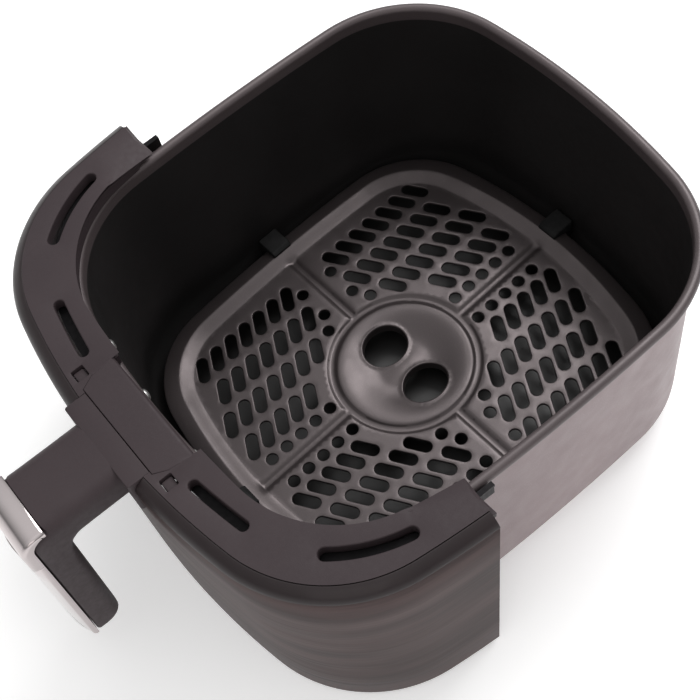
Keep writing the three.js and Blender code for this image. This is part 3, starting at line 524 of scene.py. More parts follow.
def brushed_material(name, dark, light, rough):
    """Fine level lines, as on a brushed or foiled panel."""
    n = Nodes(name)
    lines = n.noise(1, 6, 0.62, (14, 14, 900))
    broad = n.noise(1, 3, 0.5, (11, 11, 90))
    both = n.mix(0.65, lines, broad)
    base = n.blend(both, dark, light, 0.36, 0.62)
    n.bump([(lines, 0.1, 0.06)])
    return n.set(
        Base_Color=base,
        Specular_IOR_Level=0.1,
        Roughness=n.spread(lines, rough - 0.06, rough + 0.1),
        Coat_Weight=0.04,
        Coat_Roughness=0.3,
    )


def gloss_material(name, dark, light, rough):
    n = Nodes(name)
    n.bump([(n.noise(35, 2), 0.03, 0.8), (n.noise(1200, 2), 0.03, 0.03)])
    return n.set(
        Base_Color=n.blend(n.noise(22, 3), dark, light),
        Roughness=n.spread(n.noise(160, 3), rough - 0.03, rough + 0.06),
        Specular_IOR_Level=0.25,
        Coat_Weight=0.12,
        Coat_Roughness=0.12,
    )


def chrome_material():
    n = Nodes("polished_chrome")
    n.bump([(n.noise(45, 2), 0.03, 0.6)])
    return n.set(
        Base_Color=n.blend(n.noise(30, 3), (0.5, 0.45, 0.45), (0.58, 0.53, 0.53)),
        Metallic=1.0,
        Roughness=n.spread(n.noise(120, 4), 0.06, 0.16, 0.3, 0.75),
    )


def silicone_material():
    n = Nodes("black_silicone")
    n.bump([(n.noise(900, 3), 0.15, 0.08)])
    return n.set(
        Base_Color=n.blend(n.noise(240, 4), (0.008, 0.008, 0.008), (0.015, 0.0145, 0.015), 0.35, 0.75),
        Specular_IOR_Level=0.2,
        Roughness=n.spread(n.noise(300, 3), 0.5, 0.68),
    )


def steel_material(name, colour, rough):
    n = Nodes(name)
    lines = n.noise(1, 4, 0.6, (500, 500, 60))
    n.bump([(lines, 0.08, 0.05)])
    shade = tuple(c * 0.72 for c in colour)
    return n.set(
        Base_Color=n.blend(n.noise(150, 4), shade, colour),
        Metallic=0.9,
        Roughness=n.spread(lines, rough - 0.08, rough + 0.1),
    )


INSIDE_COATING = coating_material(
    "pan_inside_coating", (0.013, 0.012, 0.012), (0.021, 0.0195, 0.0195), 0.42, 0.2, 0.05
)
OUTSIDE_COATING = coating_material(
    "pan_outside_coating", (0.22, 0.17, 0.175), (0.27, 0.21, 0.215), 0.45, 0.35
)
BEAD_COATING = coating_material("rolled_rim_coating", (0.075, 0.06, 0.062), (0.1, 0.081, 0.083), 0.4, 0.3)
PLATE_COATING = coating_material("plate_coating", (0.063, 0.052, 0.053), (0.084, 0.07, 0.071), 0.34, 0.6)
MATT_PLASTIC = moulded_material("matt_moulding", (0.038, 0.028, 0.031), (0.048, 0.036, 0.039), 0.55)
GLOSS_BAND = gloss_material("gloss_band", (0.018, 0.0125, 0.0135), (0.024, 0.017, 0.018), 0.38)
FRONT_FINISH = brushed_material("brushed_front", (0.028, 0.018, 0.018), (0.07, 0.046, 0.045), 0.45)
CHROME = chrome_material()
SILICONE = silicone_material()
BRIGHT_STEEL = steel_material("fastener_steel", (0.62, 0.61, 0.6), 0.32)
DARK_STEEL = steel_material("bracket_steel", (0.016, 0.015, 0.016), 0.5)


# ---- pan ----


def wall_offset(z, inside):
    taper = PAN_TAPER * (BEAD_Z - z)
    return -BEAD_RADIUS - taper + (0 if inside else PAN_SHEET)


def pan_rings():
    """Rings of the pan from the middle of its underside, out, up, over the bead and back inside."""

    def bottom(radius, base_z, inside):
        edge = wall_offset(base_z + radius, inside)
        rings = [(edge - radius - inset, base_z) for inset in (30, 12, 4, 1)]
        for angle in np.linspace(0, math.pi / 2, 14):
            rings.append((edge - radius * (1 - math.sin(angle)), base_z + radius * (1 - math.cos(angle))))
        return rings

    outside = bottom(PAN_FILLET, 0.0, False)
    inside = bottom(PAN_FILLET - PAN_SHEET, PAN_SHEET, True)
    for z in np.linspace(PAN_FILLET + 8, BEAD_Z - 5, 12):
        outside.append((wall_offset(z, False), z))
        inside.append((wall_offset(z, True), z))
    bead = []
    for degrees in np.linspace(-122, 180, 26):
        angle = math.radians(degrees)
        bead.append((BEAD_RADIUS * math.cos(angle), BEAD_Z + BEAD_RADIUS * math.sin(angle)))
    return outside + bead + inside[::-1]


def build_pan():
    rings = [with_z(oval(BEAD_LINE, offset), z) for offset, z in pan_rings()]
    item = make_object("pan_body", *skin(rings, capped=True), sharp_angle=60)
    place(item, "drawer", "pan", OUTSIDE_COATING)
    item.data.materials.append(INSIDE_COATING)
    item.data.materials.append(BEAD_COATING)
    inside_index, bead_index = 1, 2
    for face in item.data.polygons:
        middle = face.center / MM
        looks_in = face.normal.x * middle.x + face.normal.y * middle.y < 0
        on_floor = abs(middle.z - PAN_SHEET) < 0.1 and face.normal.z > 0.9
        if middle.z > BEAD_Z - BEAD_RADIUS:
            face.material_index = bead_index
        elif (looks_in or on_floor) and middle.z > 0.5:
            face.material_index = inside_index


# ---- crisper plate ----

SLOT_PITCH = 10.0
FIRST_COLUMN = 21.2
SLOT_COLUMN = 17.7
SLOT_WIDTH = 6.2
SLOT_LENGTH = 15.1
SLOT_TILT = math.radians(30)
HOLE_COLUMN = 8.65
RING_RADIUS = 38.3
CHANNEL_HALF = 3.0
CHANNEL_DEPTH = 1.3
CHANNEL_SLOPE = 1.9
DISH_RADIUS = 35.6
DISH_DEPTH = 3.6
FINGER_RADIUS = 12.3
FINGER_NARROWING = 0.87
FINGER_OFFSET = 15.4
FINGER_SKIRT = 4.2
POINT_SPACING = 2.4
LEAST_SPACING = 0.62


def quarter_pattern():
    """Centres of the slots and of the round holes in one quarter of the plate."""
    slots = []
    for column, top, rows in ((0, 87.7, 5), (1, 87.7, 7), (2, 77.7, 7), (3, 77.7, 7)):
        x = FIRST_COLUMN + column * SLOT_COLUMN
        slots += [(x, top - SLOT_PITCH * row) for row in range(rows)]
    holes = [(HOLE_COLUMN, 85.1 - SLOT_PITCH * row) for row in range(5)]
    for column, y, side in ((1, 17.7, 1), (2, 7.7, -1), (3, 7.7, -1)):
        x = FIRST_COLUMN + column * SLOT_COLUMN
        holes.append((x + side * 5 * math.cos(SLOT_TILT), y - side * 5 * math.sin(SLOT_TILT)))
    return slots, holes


def ramp_step(distance, start, width):
    t = np.clip((distance - start) / width, 0, 1)
    return t * t * (3 - 2 * t)


def plate_height(points):
    """Height of the pressed panel against its flat top: channels, ring and dish."""
    x, y = points[:, 0], points[:, 1]
    r = np.hypot(x, y)
    in_rib = 1 - ramp_step(np.minimum(np.abs(x), np.abs(y)), CHANNEL_HALF - CHANNEL_SLOPE, CHANNEL_SLOPE)
    in_rib = in_rib * ramp_step(r, RING_RADIUS - 1, 1.5)
    in_ring = 1 - ramp_step(np.abs(r - RING_RADIUS), CHANNEL_HALF - CHANNEL_SLOPE, CHANNEL_SLOPE)
    channel = CHANNEL_DEPTH * np.maximum(in_rib, in_ring)
    dish = DISH_DEPTH * (1 - ramp_step(r, 13, DISH_RADIUS - 15))
    saddle = 0.6 * np.exp(-((x / 6) ** 2)) * (1 - ramp_step(np.abs(y), 2, 16))
    across = np.minimum(np.abs(x - FINGER_OFFSET), np.abs(x + FINGER_OFFSET)) / FINGER_NARROWING
    lip = 0.5 * (1 - ramp_step(np.hypot(across, y), FINGER_RADIUS + 0.6, 1.6))
    return -channel - dish + (saddle + lip) * (r < DISH_RADIUS - 5)


def plate_points():
    """Extra points that follow the channels, ring and dish, then an even grid."""
    sets = []
    for radius in (35.0, 35.8, 36.4, 36.9, 37.6, 38.3, 39.0, 39.7, 40.2, 40.8, 41.4):
        sets.append(circle(radius, int(radius * 6)))
    for radius in np.arange(1.5, 34.5, 1.25):
        sets.append(circle(radius, max(8, int(radius * 4.6))))
    along = np.arange(-100, 100.5, 1.4)
    for across in (0.0, 0.8, 1.6, 1.9, 2.2, 2.5, 2.9):
        for side in (1, -1):
            sets.append(np.column_stack([np.full_like(along, side * across), along]))
            sets.append(np.column_stack([along, np.full_like(along, side * across)]))
    for row in range(-50, 51):
        xs = np.arange(-96, 96, POINT_SPACING) + (row % 2) * POINT_SPACING / 2
        sets.append(np.column_stack([xs, np.full_like(xs, row * POINT_SPACING * 0.866)]))
    return np.concatenate(sets)


def plate_hole_chain(radius, steps=4, skirt=0.0):
    """Edge chain of a hole with a rounded top edge, and a skirt below when it has one."""
    foot = PLATE_Z - PLATE_SHEET
    end = [(radius * 0.9, foot - skirt), (radius * 0.95, foot)] if skirt else [(radius, foot)]
    side = [(0.0, foot + 0.1 - skirt), (0.12, foot - skirt)]
    return edge_arc(PLATE_Z, radius, steps) + side + end


def build_plate():
    slots, holes = quarter_pattern()
    slot_loop = capsule(SLOT_LENGTH, SLOT_WIDTH, 12)
    hole_loop = circle(SLOT_WIDTH / 2, 28)
    slot_chain = plate_hole_chain(0.55)
    finger_chain = plate_hole_chain(1.0, 5, FINGER_SKIRT)
    loops = []
    for mx in (1, -1):
        for my in (1, -1):
            for x, y in slots:
                loops.append((turned(slot_loop, -SLOT_TILT * mx * my) + [x * mx, y * my], slot_chain))
            for x, y in holes:
                loops.append((hole_loop + [x * mx, y * my], slot_chain))
    for side in (1, -1):
        hole = circle(FINGER_RADIUS, 72) * [FINGER_NARROWING, 1]
        loops.append((hole + [side * FINGER_OFFSET, 0], finger_chain))
    boundary = oval(PANEL_EDGE)
    kept = np.concatenate([boundary, *(offset_loop(loop, chain[0][0]) for loop, chain in loops)])
    extra = thinned(plate_points(), kept, LEAST_SPACING)
    reach = offset_loop(boundary, -0.6)
    extra = extra[inside_loop(extra, reach)]
    for loop, chain in loops:
        grown = offset_loop(loop, chain[0][0] + 0.3)
        near = (np.abs(extra - loop.mean(0)) < 16).all(1)
        near[near] = inside_loop(extra[near], grown)
        extra = extra[~near]
    faces = [(0.0, PLATE_Z), (0.0, PLATE_Z - PLATE_SHEET)]
    panel = shell(boundary, faces, loops, extra, plate_height, open_edge=True)
    item = make_object("crisper_plate_sheet", *joined(panel, plate_rim()), sharp_angle=50)
    item.data.transform(Matrix.Rotation(CRISPER_TURN, 4, "Z"))
    place(item, "crisper", "crisper_plate", PLATE_COATING)


def plate_rim():
    """The bevel and flange round the panel, over and under."""
    panel, bevel, flange = oval(PANEL_EDGE), oval(BEVEL_EDGE), oval(FLANGE_EDGE)
    top = [with_z(panel, plate_height(panel))]
    for t in (0.05, 0.12, 0.2, 0.5, 0.8, 0.88, 0.95):
        ease = t * t * (3 - 2 * t) * 0.5 + t * 0.5
        height = BEVEL_RISE * ease + plate_height(panel) * (1 - ramp_step(t, 0, 0.3))
        top.append(with_z(panel + (bevel - panel) * t, height))
    for t in (0.0, 0.06, 0.14, 0.5, 0.9):
        height = BEVEL_RISE - (BEVEL_RISE - FLANGE_RISE) * t**1.4
        top.append(with_z(bevel + (flange - bevel) * t, height))
    lip = [(-0.25, 0.0), (0.0, -0.25), (0.0, -PLATE_SHEET + 0.25), (-0.25, -PLATE_SHEET)]
    edge = [with_z(oval(FLANGE_EDGE, offset), FLANGE_RISE + dz) for offset, dz in lip]
    under = [ring - [0, 0, PLATE_SHEET] for ring in reversed(top)]
    return skin([ring + [0, 0, PLATE_Z] for ring in top + edge + under])


# ---- silicone feet ----

FOOT_LOW_Z = 11.0
FOOT_TOP_Z = 26.3
FOOT_CLEARANCE = 0.6
FOOT_HALF = 6.0


def foot_outline(half_bevel, half_bead):
    """Side view of a foot, in (outwards, up), that fits the pan's wall and rounded corner."""
    radius = PAN_FILLET - PAN_SHEET
    middle_z = PAN_SHEET + radius

    def reach(z):
        wall = half_bead + wall_offset(max(z, middle_z), True) - radius
        return wall + math.sqrt(radius**2 - max(middle_z - z, 0) ** 2) - FOOT_CLEARANCE

    side = [
        (half_bevel + 0.4, FOOT_LOW_Z + 1.5),
        (half_bevel + 2.5, FOOT_LOW_Z),
        (reach(FOOT_LOW_Z), FOOT_LOW_Z),
        (reach(14), 14),
        (reach(18), 18),
        (reach(FOOT_TOP_Z) - 0.2, FOOT_TOP_Z - 1),
        (reach(FOOT_TOP_Z) - 1.2, FOOT_TOP_Z),
        (half_bevel + 1.4, FOOT_TOP_Z),
        (half_bevel - 0.6, FOOT_TOP_Z - 1.6),
        (half_bevel - 0.1, FOOT_TOP_Z - 5),
    ]
    return rounded_corners(side, 0.45, 3)


def build_bumpers():
    """Feet that grip the flange at the middle of each side."""
    rounding = [(0.0, 0.6), (0.2, 0.2), (0.6, 0.0)]
    across = [(along - FOOT_HALF, inset) for along, inset in rounding]
    across += [(FOOT_HALF - along, inset) for along, inset in reversed(rounding)]
    for quarter, name in enumerate(("right", "back", "left", "front")):
        outline = foot_outline(BEVEL_EDGE[quarter % 2], BEAD_LINE[quarter % 2])
        sections = []
        for v, inset in across:
            loop = offset_loop(outline, -inset)
            sections.append(np.column_stack([loop[:, 0], np.full(len(loop), v), loop[:, 1]]))
        item = make_object(f"bumper_{name}_foot", *skin(sections, capped=True), sharp_angle=50)
        item.data.transform(Matrix.Rotation(quarter * math.pi / 2 + CRISPER_TURN, 4, "Z"))
        place(item, "crisper", "bumper_" + name, SILICONE)


# ---- fascia ----

END_TOP_Y = -49.5
END_FOOT_Y = -57.5
PANEL_FOOT_Z = 3.5
BAND_Z = 136.8
COLLAR_HALF = 25.0
COLLAR_BACK_Y = -142.8
COLLAR_FRONT_Y = -154.0
COLLAR_FOOT_Z = 119.5
NOTCH_HALF = 33.0
COVER_FRONT_HALF = 26.6
COVER_MIDDLE_HALF = 30.0
WINDOW_INNER = 31.2
WINDOW_HALF = 37.5
WINDOW_BACK_Y = -136.2
MOUTH_SKIRT_Z = 134.0
SEAM_SKIRT_Z = 107.5
LEDGE_SHEET = 2.5
BEYOND = 200
COLLAR_NOTCH = (
    (-COLLAR_HALF - GAP, COLLAR_HALF + GAP),
    (-BEYOND, COLLAR_BACK_Y + GAP),
    (COLLAR_FOOT_Z - GAP, BEYOND),
)

# Slots in the ledge: ends of the centre line, bow radius and width.
CURVED_SLOT = ((118.4, -78.3), (102.0, -110.0), 75, 5.8)
STRAIGHT_SLOT = ((70.4, -127.3), (42.5, -132.2), 400, 5.0)

# The crease of the ledge's end facet, and how steeply the facet falls from it.
CREASE = ((122.1, -49.5), (112.9, -68.8))
FACET_BACK_Y = -72
FACET_SLOPE = 0.5


def end_y(z):
    """The fascia's end faces lean: y of the cut at a height."""
    return END_TOP_Y + (END_FOOT_Y - END_TOP_Y) * (LEDGE_Z - z) / (LEDGE_Z - PANEL_FOOT_Z)


def swept_front(profile, stop_x=None):
    """A bar swept round the fascia's front. The profile is a loop of (outline, offset, z)."""
    lines = []
    for outline, offset, z in profile:
        if stop_x is None:
            line = whole_front(outline, offset, end_y(z))
        else:
            line = front_path(outline, offset, end_y(z), stop_x)
        lines.append(with_z(line, z))
    sections = np.stack(lines, 1)
    return skin(list(sections), capped=True)


def build_trim_bands():
    profile = [
        (SEAM_LINE, GAP, LEDGE_Z - 1.0),
        (SEAM_LINE, GAP + 0.15, LEDGE_Z - 0.55),
        (SEAM_LINE, GAP + 0.5, LEDGE_Z - 0.4),
        (SEAM_LINE, GAP + 0.9, LEDGE_Z - 0.5),
        (FASCIA_EDGE, -4.0, LEDGE_Z - 1.5),
        (FASCIA_EDGE, -2.4, LEDGE_Z - 2.55),
        (FASCIA_EDGE, -1.2, LEDGE_Z - 3.7),
        (FASCIA_EDGE, -0.45, LEDGE_Z - 4.9),
        (FASCIA_EDGE, -0.1, BAND_Z + 0.5),
        (FASCIA_EDGE, -0.05, BAND_Z + 0.2),
        (FASCIA_EDGE, -0.25, BAND_Z),
        (FASCIA_EDGE, -1.9, BAND_Z),
        (SEAM_LINE, GAP, LEDGE_Z - 3.6),
    ]
    for name, mirror in (("trim_band_right", 1), ("trim_band_left", -1)):
        points, faces = swept_front(profile, COLLAR_HALF + GAP)
        item = make_object(name + "_strip", np.array(points) * [mirror, 1, 1], faces)
        place(item, "drawer", name, GLOSS_BAND)


def build_front_panel():
    top = BAND_Z - GAP
    profile = [
        (FASCIA_EDGE, -0.6, top),
        (FASCIA_EDGE, -0.2, top - 0.5),
        *((FASCIA_EDGE, -0.2, z) for z in (110, 85, 60, 30)),
        (FASCIA_EDGE, -0.2, PANEL_FOOT_Z + 1.2),
        (FASCIA_EDGE, -0.5, PANEL_FOOT_Z + 0.4),
        (FASCIA_EDGE, -1.2, PANEL_FOOT_Z),
        (FASCIA_EDGE, -8, PANEL_FOOT_Z),
        (FASCIA_EDGE, -8, PANEL_FOOT_Z + 2.2),
        (FASCIA_EDGE, -2.2, PANEL_FOOT_Z + 2.2),
        (FASCIA_EDGE, -2.2, top),
    ]
    item = make_object("front_panel_skin", *swept_front(profile))
    cut_away(item, cutter_box("notch", *COLLAR_NOTCH))
    item.data.shade_smooth()
    item.data.set_sharp_from_angle(angle=math.radians(40))
    place(item, "drawer", "front_panel", FRONT_FINISH)


def cutter_box(name, xs, ys, zs):
    corners = [(x, y, z) for z in zs for y in ys for x in xs]
    faces = [(0, 2, 3, 1), (4, 5, 7, 6), (0, 1, 5, 4), (2, 6, 7, 3), (0, 4, 6, 2), (1, 3, 7, 5)]
    return make_object(name, corners, faces, smooth=False)


def bowed_slot(first, second, radius, width, steps=16):
    """A slot along an arc between two points, bulging away from the pan's centre."""
    first, second = np.array(first, float), np.array(second, float)
    chord = second - first
    middle = (first + second) / 2
    inward = np.array([-chord[1], chord[0]]) / np.linalg.norm(chord)
    if inward @ middle > 0:
        inward = -inward
    centre = middle + inward * math.sqrt(radius**2 - (chord @ chord) / 4)
    a = math.atan2(*(first - centre)[::-1])
    sweep = (math.atan2(*(second - centre)[::-1]) - a + math.pi) % (2 * math.pi) - math.pi
    turn = math.copysign(1, sweep)
    loop = np.concatenate([
        arc(centre, radius + width / 2, a, a + sweep, steps),
        arc(second, width / 2, a + sweep, a + sweep + turn * math.pi, 10)[1:-1],
        arc(centre, radius - width / 2, a + sweep, a, steps),
        arc(first, width / 2, a + math.pi, a + math.pi + turn * math.pi, 10)[1:-1],
    ])
    return loop if turn > 0 else loop[::-1]


def ledge_outline():
    """Plan of the fascia's right top, counter-clockwise, with the notch for the handle's root, and
    the rounding at each point."""
    outer = front_path(SEAM_LINE, 0.0, END_TOP_Y, COLLAR_HALF + GAP)
    inner = front_path(MOUTH_EDGE, 0.0, END_TOP_Y, NOTCH_HALF + GAP)
    back = COLLAR_BACK_Y - GAP
    corners = [(COLLAR_HALF, back), (COVER_FRONT_HALF, back), (COVER_MIDDLE_HALF, WINDOW_BACK_Y)]
    notch = [(x + GAP, y) for x, y in corners]
    radii = np.concatenate([np.full(len(inner), 2.8), np.full(len(outer) + len(notch), 0.35)])
    return np.concatenate([inner[::-1], outer, notch]), radii


def end_facet(points):
    """The facet at each end of the ledge: it falls away inside a crease towards the pan."""
    first, second = np.array(CREASE)
    along = unit(second - first)
    x, y = np.abs(points[:, 0]) - first[0], points[:, 1] - first[1]
    inside = x * along[1] - y * along[0]
    return -FACET_SLOPE * np.where(points[:, 1] > FACET_BACK_Y, np.maximum(inside, 0), 0)


def build_top_frame():
    """Two halves of the matt ledge, joined below by the skirt behind the front panel."""
    roof = LEDGE_Z - LEDGE_SHEET

    def foot(points, rise=0.0):
        return np.where(points[:, 1] > END_TOP_Y - 6, LEDGE_Z - 6.5, MOUTH_SKIRT_Z) + rise

    slot_drops = [(0.9, 0), (0.45, 0.1), (0.12, 0.4), (0, 0.9), (0, 6.2), (0.3, 6.4), (1.3, 6.4)]
    slot_edge = [*((inset, LEDGE_Z - drop) for inset, drop in slot_drops), (1.4, roof)]
    window_drops = [(0.3, 0), (0.1, 0.1), (0, 0.4), (0, 4)]
    window_edge = [*((inset, LEDGE_Z - drop) for inset, drop in window_drops), (0.3, roof)]
    along_crease = np.linspace((121.9, -49.9), (113.3, -67.9), 10)
    parts = []
    right, right_radii = ledge_outline()
    left, left_radii = (right * [-1, 1])[::-1], right_radii[::-1]
    for side, outline, radii in ((1, right, right_radii), (-1, left, left_radii)):
        holes = []
        for first, second, bow, width in (CURVED_SLOT, STRAIGHT_SLOT):
            loop = bowed_slot((first[0] * side, first[1]), (second[0] * side, second[1]), bow, width)
            holes.append((loop, slot_edge))
        x0, x1 = sorted((side * WINDOW_INNER, side * WINDOW_HALF))
        window = rounded_corners(rectangle(x0, x1, COLLAR_BACK_Y + 0.4, WINDOW_BACK_Y), 0.6, 3)
        holes.append((window, window_edge))
        edge = rolled_edge(radii, LEDGE_Z, end_facet)
        edge += [(0.0, lambda ring: foot(ring, 0.2)), (0.2, foot), (1.8, foot), (2.0, roof)]
        parts.append(shell(outline, edge, holes, along_crease * [side, 1], end_facet))
    skirt = [
        (SEAM_LINE, -0.1, roof),
        (SEAM_LINE, -0.1, SEAM_SKIRT_Z + 0.2),
        (SEAM_LINE, -0.3, SEAM_SKIRT_Z),
        (SEAM_LINE, -1.8, SEAM_SKIRT_Z),
        (SEAM_LINE, -2.0, SEAM_SKIRT_Z + 0.2),
        (SEAM_LINE, -2.0, roof),
    ]
    wall = make_object("ledge_skirt", *swept_front(skirt))
    cut_away(wall, cutter_box("notch", *COLLAR_NOTCH))
    parts.append(mesh_parts(wall))
    item = make_object("top_frame_ledge", *joined(*parts), sharp_angle=28)
    place(item, "drawer", "top_frame", MATT_PLASTIC)


def mesh_parts(item):
    """Takes a finished object apart into points and faces, and removes it."""
    points = [np.array(v.co) / MM for v in item.data.vertices]
    faces = [tuple(p.vertices) for p in item.data.polygons]
    bpy.data.objects.remove(item)
    return points, faces


# ---- handle ----

# The grip leans outwards towards its foot; its y values are those at the ledge.
ARM_HALF = 18.0
ARM_FOOT_Z = 123.0
GRIP_LEAN = 0.035
GRIP_BACK_Y = -184.3
GRIP_FRONT_Y = -199.2
GRIP_FOOT_Z = 34.0
TRIM_FRONT_Y = -206.2
CAP_BACK_Y = -191.5
CAP_FOOT_Z = 120.5
GRIP_CORNER = 7.0
ARM_FILLET = 7.5
TONGUE_HALF = 22.0
TONGUE_BACK_Y = -129.4
TONGUE_FOOT_Z = 136.3
TONGUE_TOP_Z = TONGUE_FOOT_Z + 2.2
HANDLE_SCREWS = ((-13.0, -133.3), (13.0, -133.3))
SCREW_RADIUS = 1.6
CAP_SEAT_Z = LEDGE_Z - 3
COVER_TOP_Z = LEDGE_Z + 0.3
COVER_SHEET = 2.2
COVER_STEP_Y = -127.5
CAP_CORNER = 9.0
STRIP_SHEET = 2.5


def lean(points):
    points = np.array(points, float)
    points[:, 1] += GRIP_LEAN * (points[:, 2] - LEDGE_Z)
    return points


def bar_section(inner, outer, half, inner_round, outer_round, steps=6):
    """A rounded section across the handle between an inner and an outer point in (y, z)."""
    inner, outer = np.array(inner, float), np.array(outer, float)
    depth = np.linalg.norm(outer - inner)
    radii = [inner_round, inner_round, outer_round, outer_round]
    plan = rounded_corners(rectangle(-half, half, 0, depth), radii, steps)
    direction = (outer - inner) / depth
    yz = inner + plan[:, 1:2] * direction
    return np.column_stack([plan[:, 0], yz])


def polar(centre, radius, angle):
    return centre + radius * np.array([math.cos(angle), math.sin(angle)])


def handle_sections():
    """Sections of the L from the collar along the arm, round the corner and down the grip."""
    fillet_centre = np.array([GRIP_BACK_Y + ARM_FILLET, ARM_FOOT_Z - ARM_FILLET])
    corner_centre = np.array([GRIP_FRONT_Y + GRIP_CORNER, CAP_SEAT_Z - GRIP_CORNER])
    bend_start = GRIP_BACK_Y + 2
    bend_end = CAP_BACK_Y + GAP
    sections = []

    def add(inner, outer, inner_round=5.0, outer_round=7.5, half=ARM_HALF):
        sections.append(bar_section(inner, outer, half, inner_round, outer_round))

    for y in (COLLAR_FRONT_Y + 0.7, -160, -166, -172):
        add((y, ARM_FOOT_Z), (y, LEDGE_Z))
    add((GRIP_BACK_Y + ARM_FILLET, ARM_FOOT_Z), (bend_start, LEDGE_Z))
    for t in np.linspace(0.12, 0.5, 4):
        y = bend_start + (bend_end - bend_start) * (t - 0.12) / 0.38
        add(polar(fillet_centre, ARM_FILLET, math.pi / 2 * (1 + t)), (y, LEDGE_Z))
    inner = polar(fillet_centre, ARM_FILLET, math.pi * 0.75)
    add(inner + [-0.05, -0.05], (bend_end - 0.02, CAP_SEAT_Z), 5.0, 4.6)
    for t in np.linspace(0.15, 1.0, 7):
        inner = polar(fillet_centre, ARM_FILLET, math.pi / 2 * (1.5 + 0.5 * t)) - [0, 3.0 * t]
        outer = polar(corner_centre, GRIP_CORNER, math.pi / 2 * (1 + t))
        add(inner, outer, 5.5, 4.0 - 2.2 * t)
    for z in (105, 88, 70, 54, 43):
        add((GRIP_BACK_Y, z), (GRIP_FRONT_Y, z), 5.5, 1.8)
    for angle in np.linspace(0.15, 1.0, 6) * math.pi / 2:
        inset = GRIP_CORNER * (1 - math.cos(angle))
        z = GRIP_FOOT_Z + GRIP_CORNER * (1 - math.sin(angle))
        outer_z = min(z + 0.5, z + inset * 0.2)
        add((GRIP_BACK_Y - inset, z), (GRIP_FRONT_Y, outer_z), 4.5, 1.8, ARM_HALF - 0.12 * inset)
    return sections


def build_handle():
    points, faces = skin(handle_sections(), capped=True)
    plan = rectangle(-COLLAR_HALF, COLLAR_HALF, COLLAR_FRONT_Y, COLLAR_BACK_Y)
    edge = rounded_chain(LEDGE_Z - 0.02, COLLAR_FOOT_Z, 0.5)
    collar = shell(rounded_corners(plan, [1.2, 1.2, 0, 0], 4), edge)
    plan = rectangle(-TONGUE_HALF, TONGUE_HALF, COLLAR_BACK_Y - 0.5, TONGUE_BACK_Y)
    edge = rounded_chain(TONGUE_TOP_Z, TONGUE_FOOT_Z, 0.3, 2)
    hole_edge = [(0, TONGUE_TOP_Z), (0, TONGUE_FOOT_Z)]
    holes = [(circle(SCREW_RADIUS, 24) + screw, hole_edge) for screw in HANDLE_SCREWS]
    tongue = shell(rounded_corners(plan, [0, 0, 1, 1], 4), edge, holes)
    item = make_object("handle_grip", *joined((list(lean(points)), faces), collar, tongue), sharp_angle=35)
    place(item, "drawer", "handle_body", MATT_PLASTIC)


def build_cover():
    right = [
        (COVER_FRONT_HALF, COLLAR_BACK_Y + GAP),
        (COVER_MIDDLE_HALF, WINDOW_BACK_Y),
        (NOTCH_HALF, -MOUTH_EDGE[1] + 0.4),
    ]
    left = [(-x, y) for x, y in reversed(right)]
    loop = np.array([left[-1], *right, *left[:-1]])

    def foot(points, rise=0.0):
        return np.where(points[:, 1] > COVER_STEP_Y, MOUTH_SKIRT_Z, TONGUE_FOOT_Z + 0.2) + rise

    radii = np.array([0.35, 0.35, 0.8, 2.6, 2.6, 0.8])
    chain = rolled_edge(radii, COVER_TOP_Z)
    chain += [(0.0, lambda ring: foot(ring, 0.15)), (0.15, foot), (1.3, foot)]
    chain.append((1.4, COVER_TOP_Z - COVER_SHEET))
    item = make_object("handle_cover_lid", *shell(loop, chain), sharp_angle=28)
    place(item, "drawer", "handle_cover", MATT_PLASTIC)


def build_catches():
    """An upright in each window of the ledge, with a foot that runs back onto the bracket."""
    for name in ("cover_catch_right", "cover_catch_left"):
        low, high = (np.array(corner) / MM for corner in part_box(name))
        inner = math.copysign(WINDOW_INNER + 0.4, low[0])

        def slab(x0, x1, back_y, top_z):
            plan = rounded_corners(rectangle(x0, x1, low[1], back_y), 0.7, 3)
            return shell(plan, rounded_chain(top_z, low[2], 0.4))

        upright = slab(min(low[0], inner), max(high[0], inner), WINDOW_BACK_Y - 0.4, high[2])
        parts = joined(upright, slab(low[0], high[0], high[1], low[2] + 2))
        item = make_object(name + "_block", *parts, sharp_angle=35)
        place(item, "drawer", name, MATT_PLASTIC)


def build_cap():
    """The bright cap over the arm's end."""
    seat = CAP_SEAT_Z + GAP
    front = TRIM_FRONT_Y + 1.2
    inner_centre = np.array([GRIP_FRONT_Y + GRIP_CORNER, seat - GRIP_CORNER])
    outer_centre = np.array([front + CAP_CORNER, COVER_TOP_Z - CAP_CORNER])
    sections = []

    def add(inner, outer):
        sections.append(bar_section(inner, outer, ARM_HALF, 0.4, 2.2))

    for y, inset in ((CAP_BACK_Y, 0.3), (CAP_BACK_Y - 0.3, 0), (CAP_BACK_Y - 2.0, 0)):
        add((y, seat), (y, COVER_TOP_Z - inset))
    for angle in np.linspace(math.pi / 2, math.pi, 12):
        inner = polar(inner_centre, GRIP_CORNER + GAP, angle)
        add(inner, polar(outer_centre, CAP_CORNER, angle))
    for z, inset in ((129, 0), (125, 0), (CAP_FOOT_Z + 0.4, 0), (CAP_FOOT_Z, 0.3)):
        add((GRIP_FRONT_Y - GAP, z), (front + inset, z))
    points, faces = skin(sections, capped=True)
    item = make_object("chrome_cap_shell", lean(points), faces, sharp_angle=50)
    place(item, "drawer", "chrome_cap", CHROME)


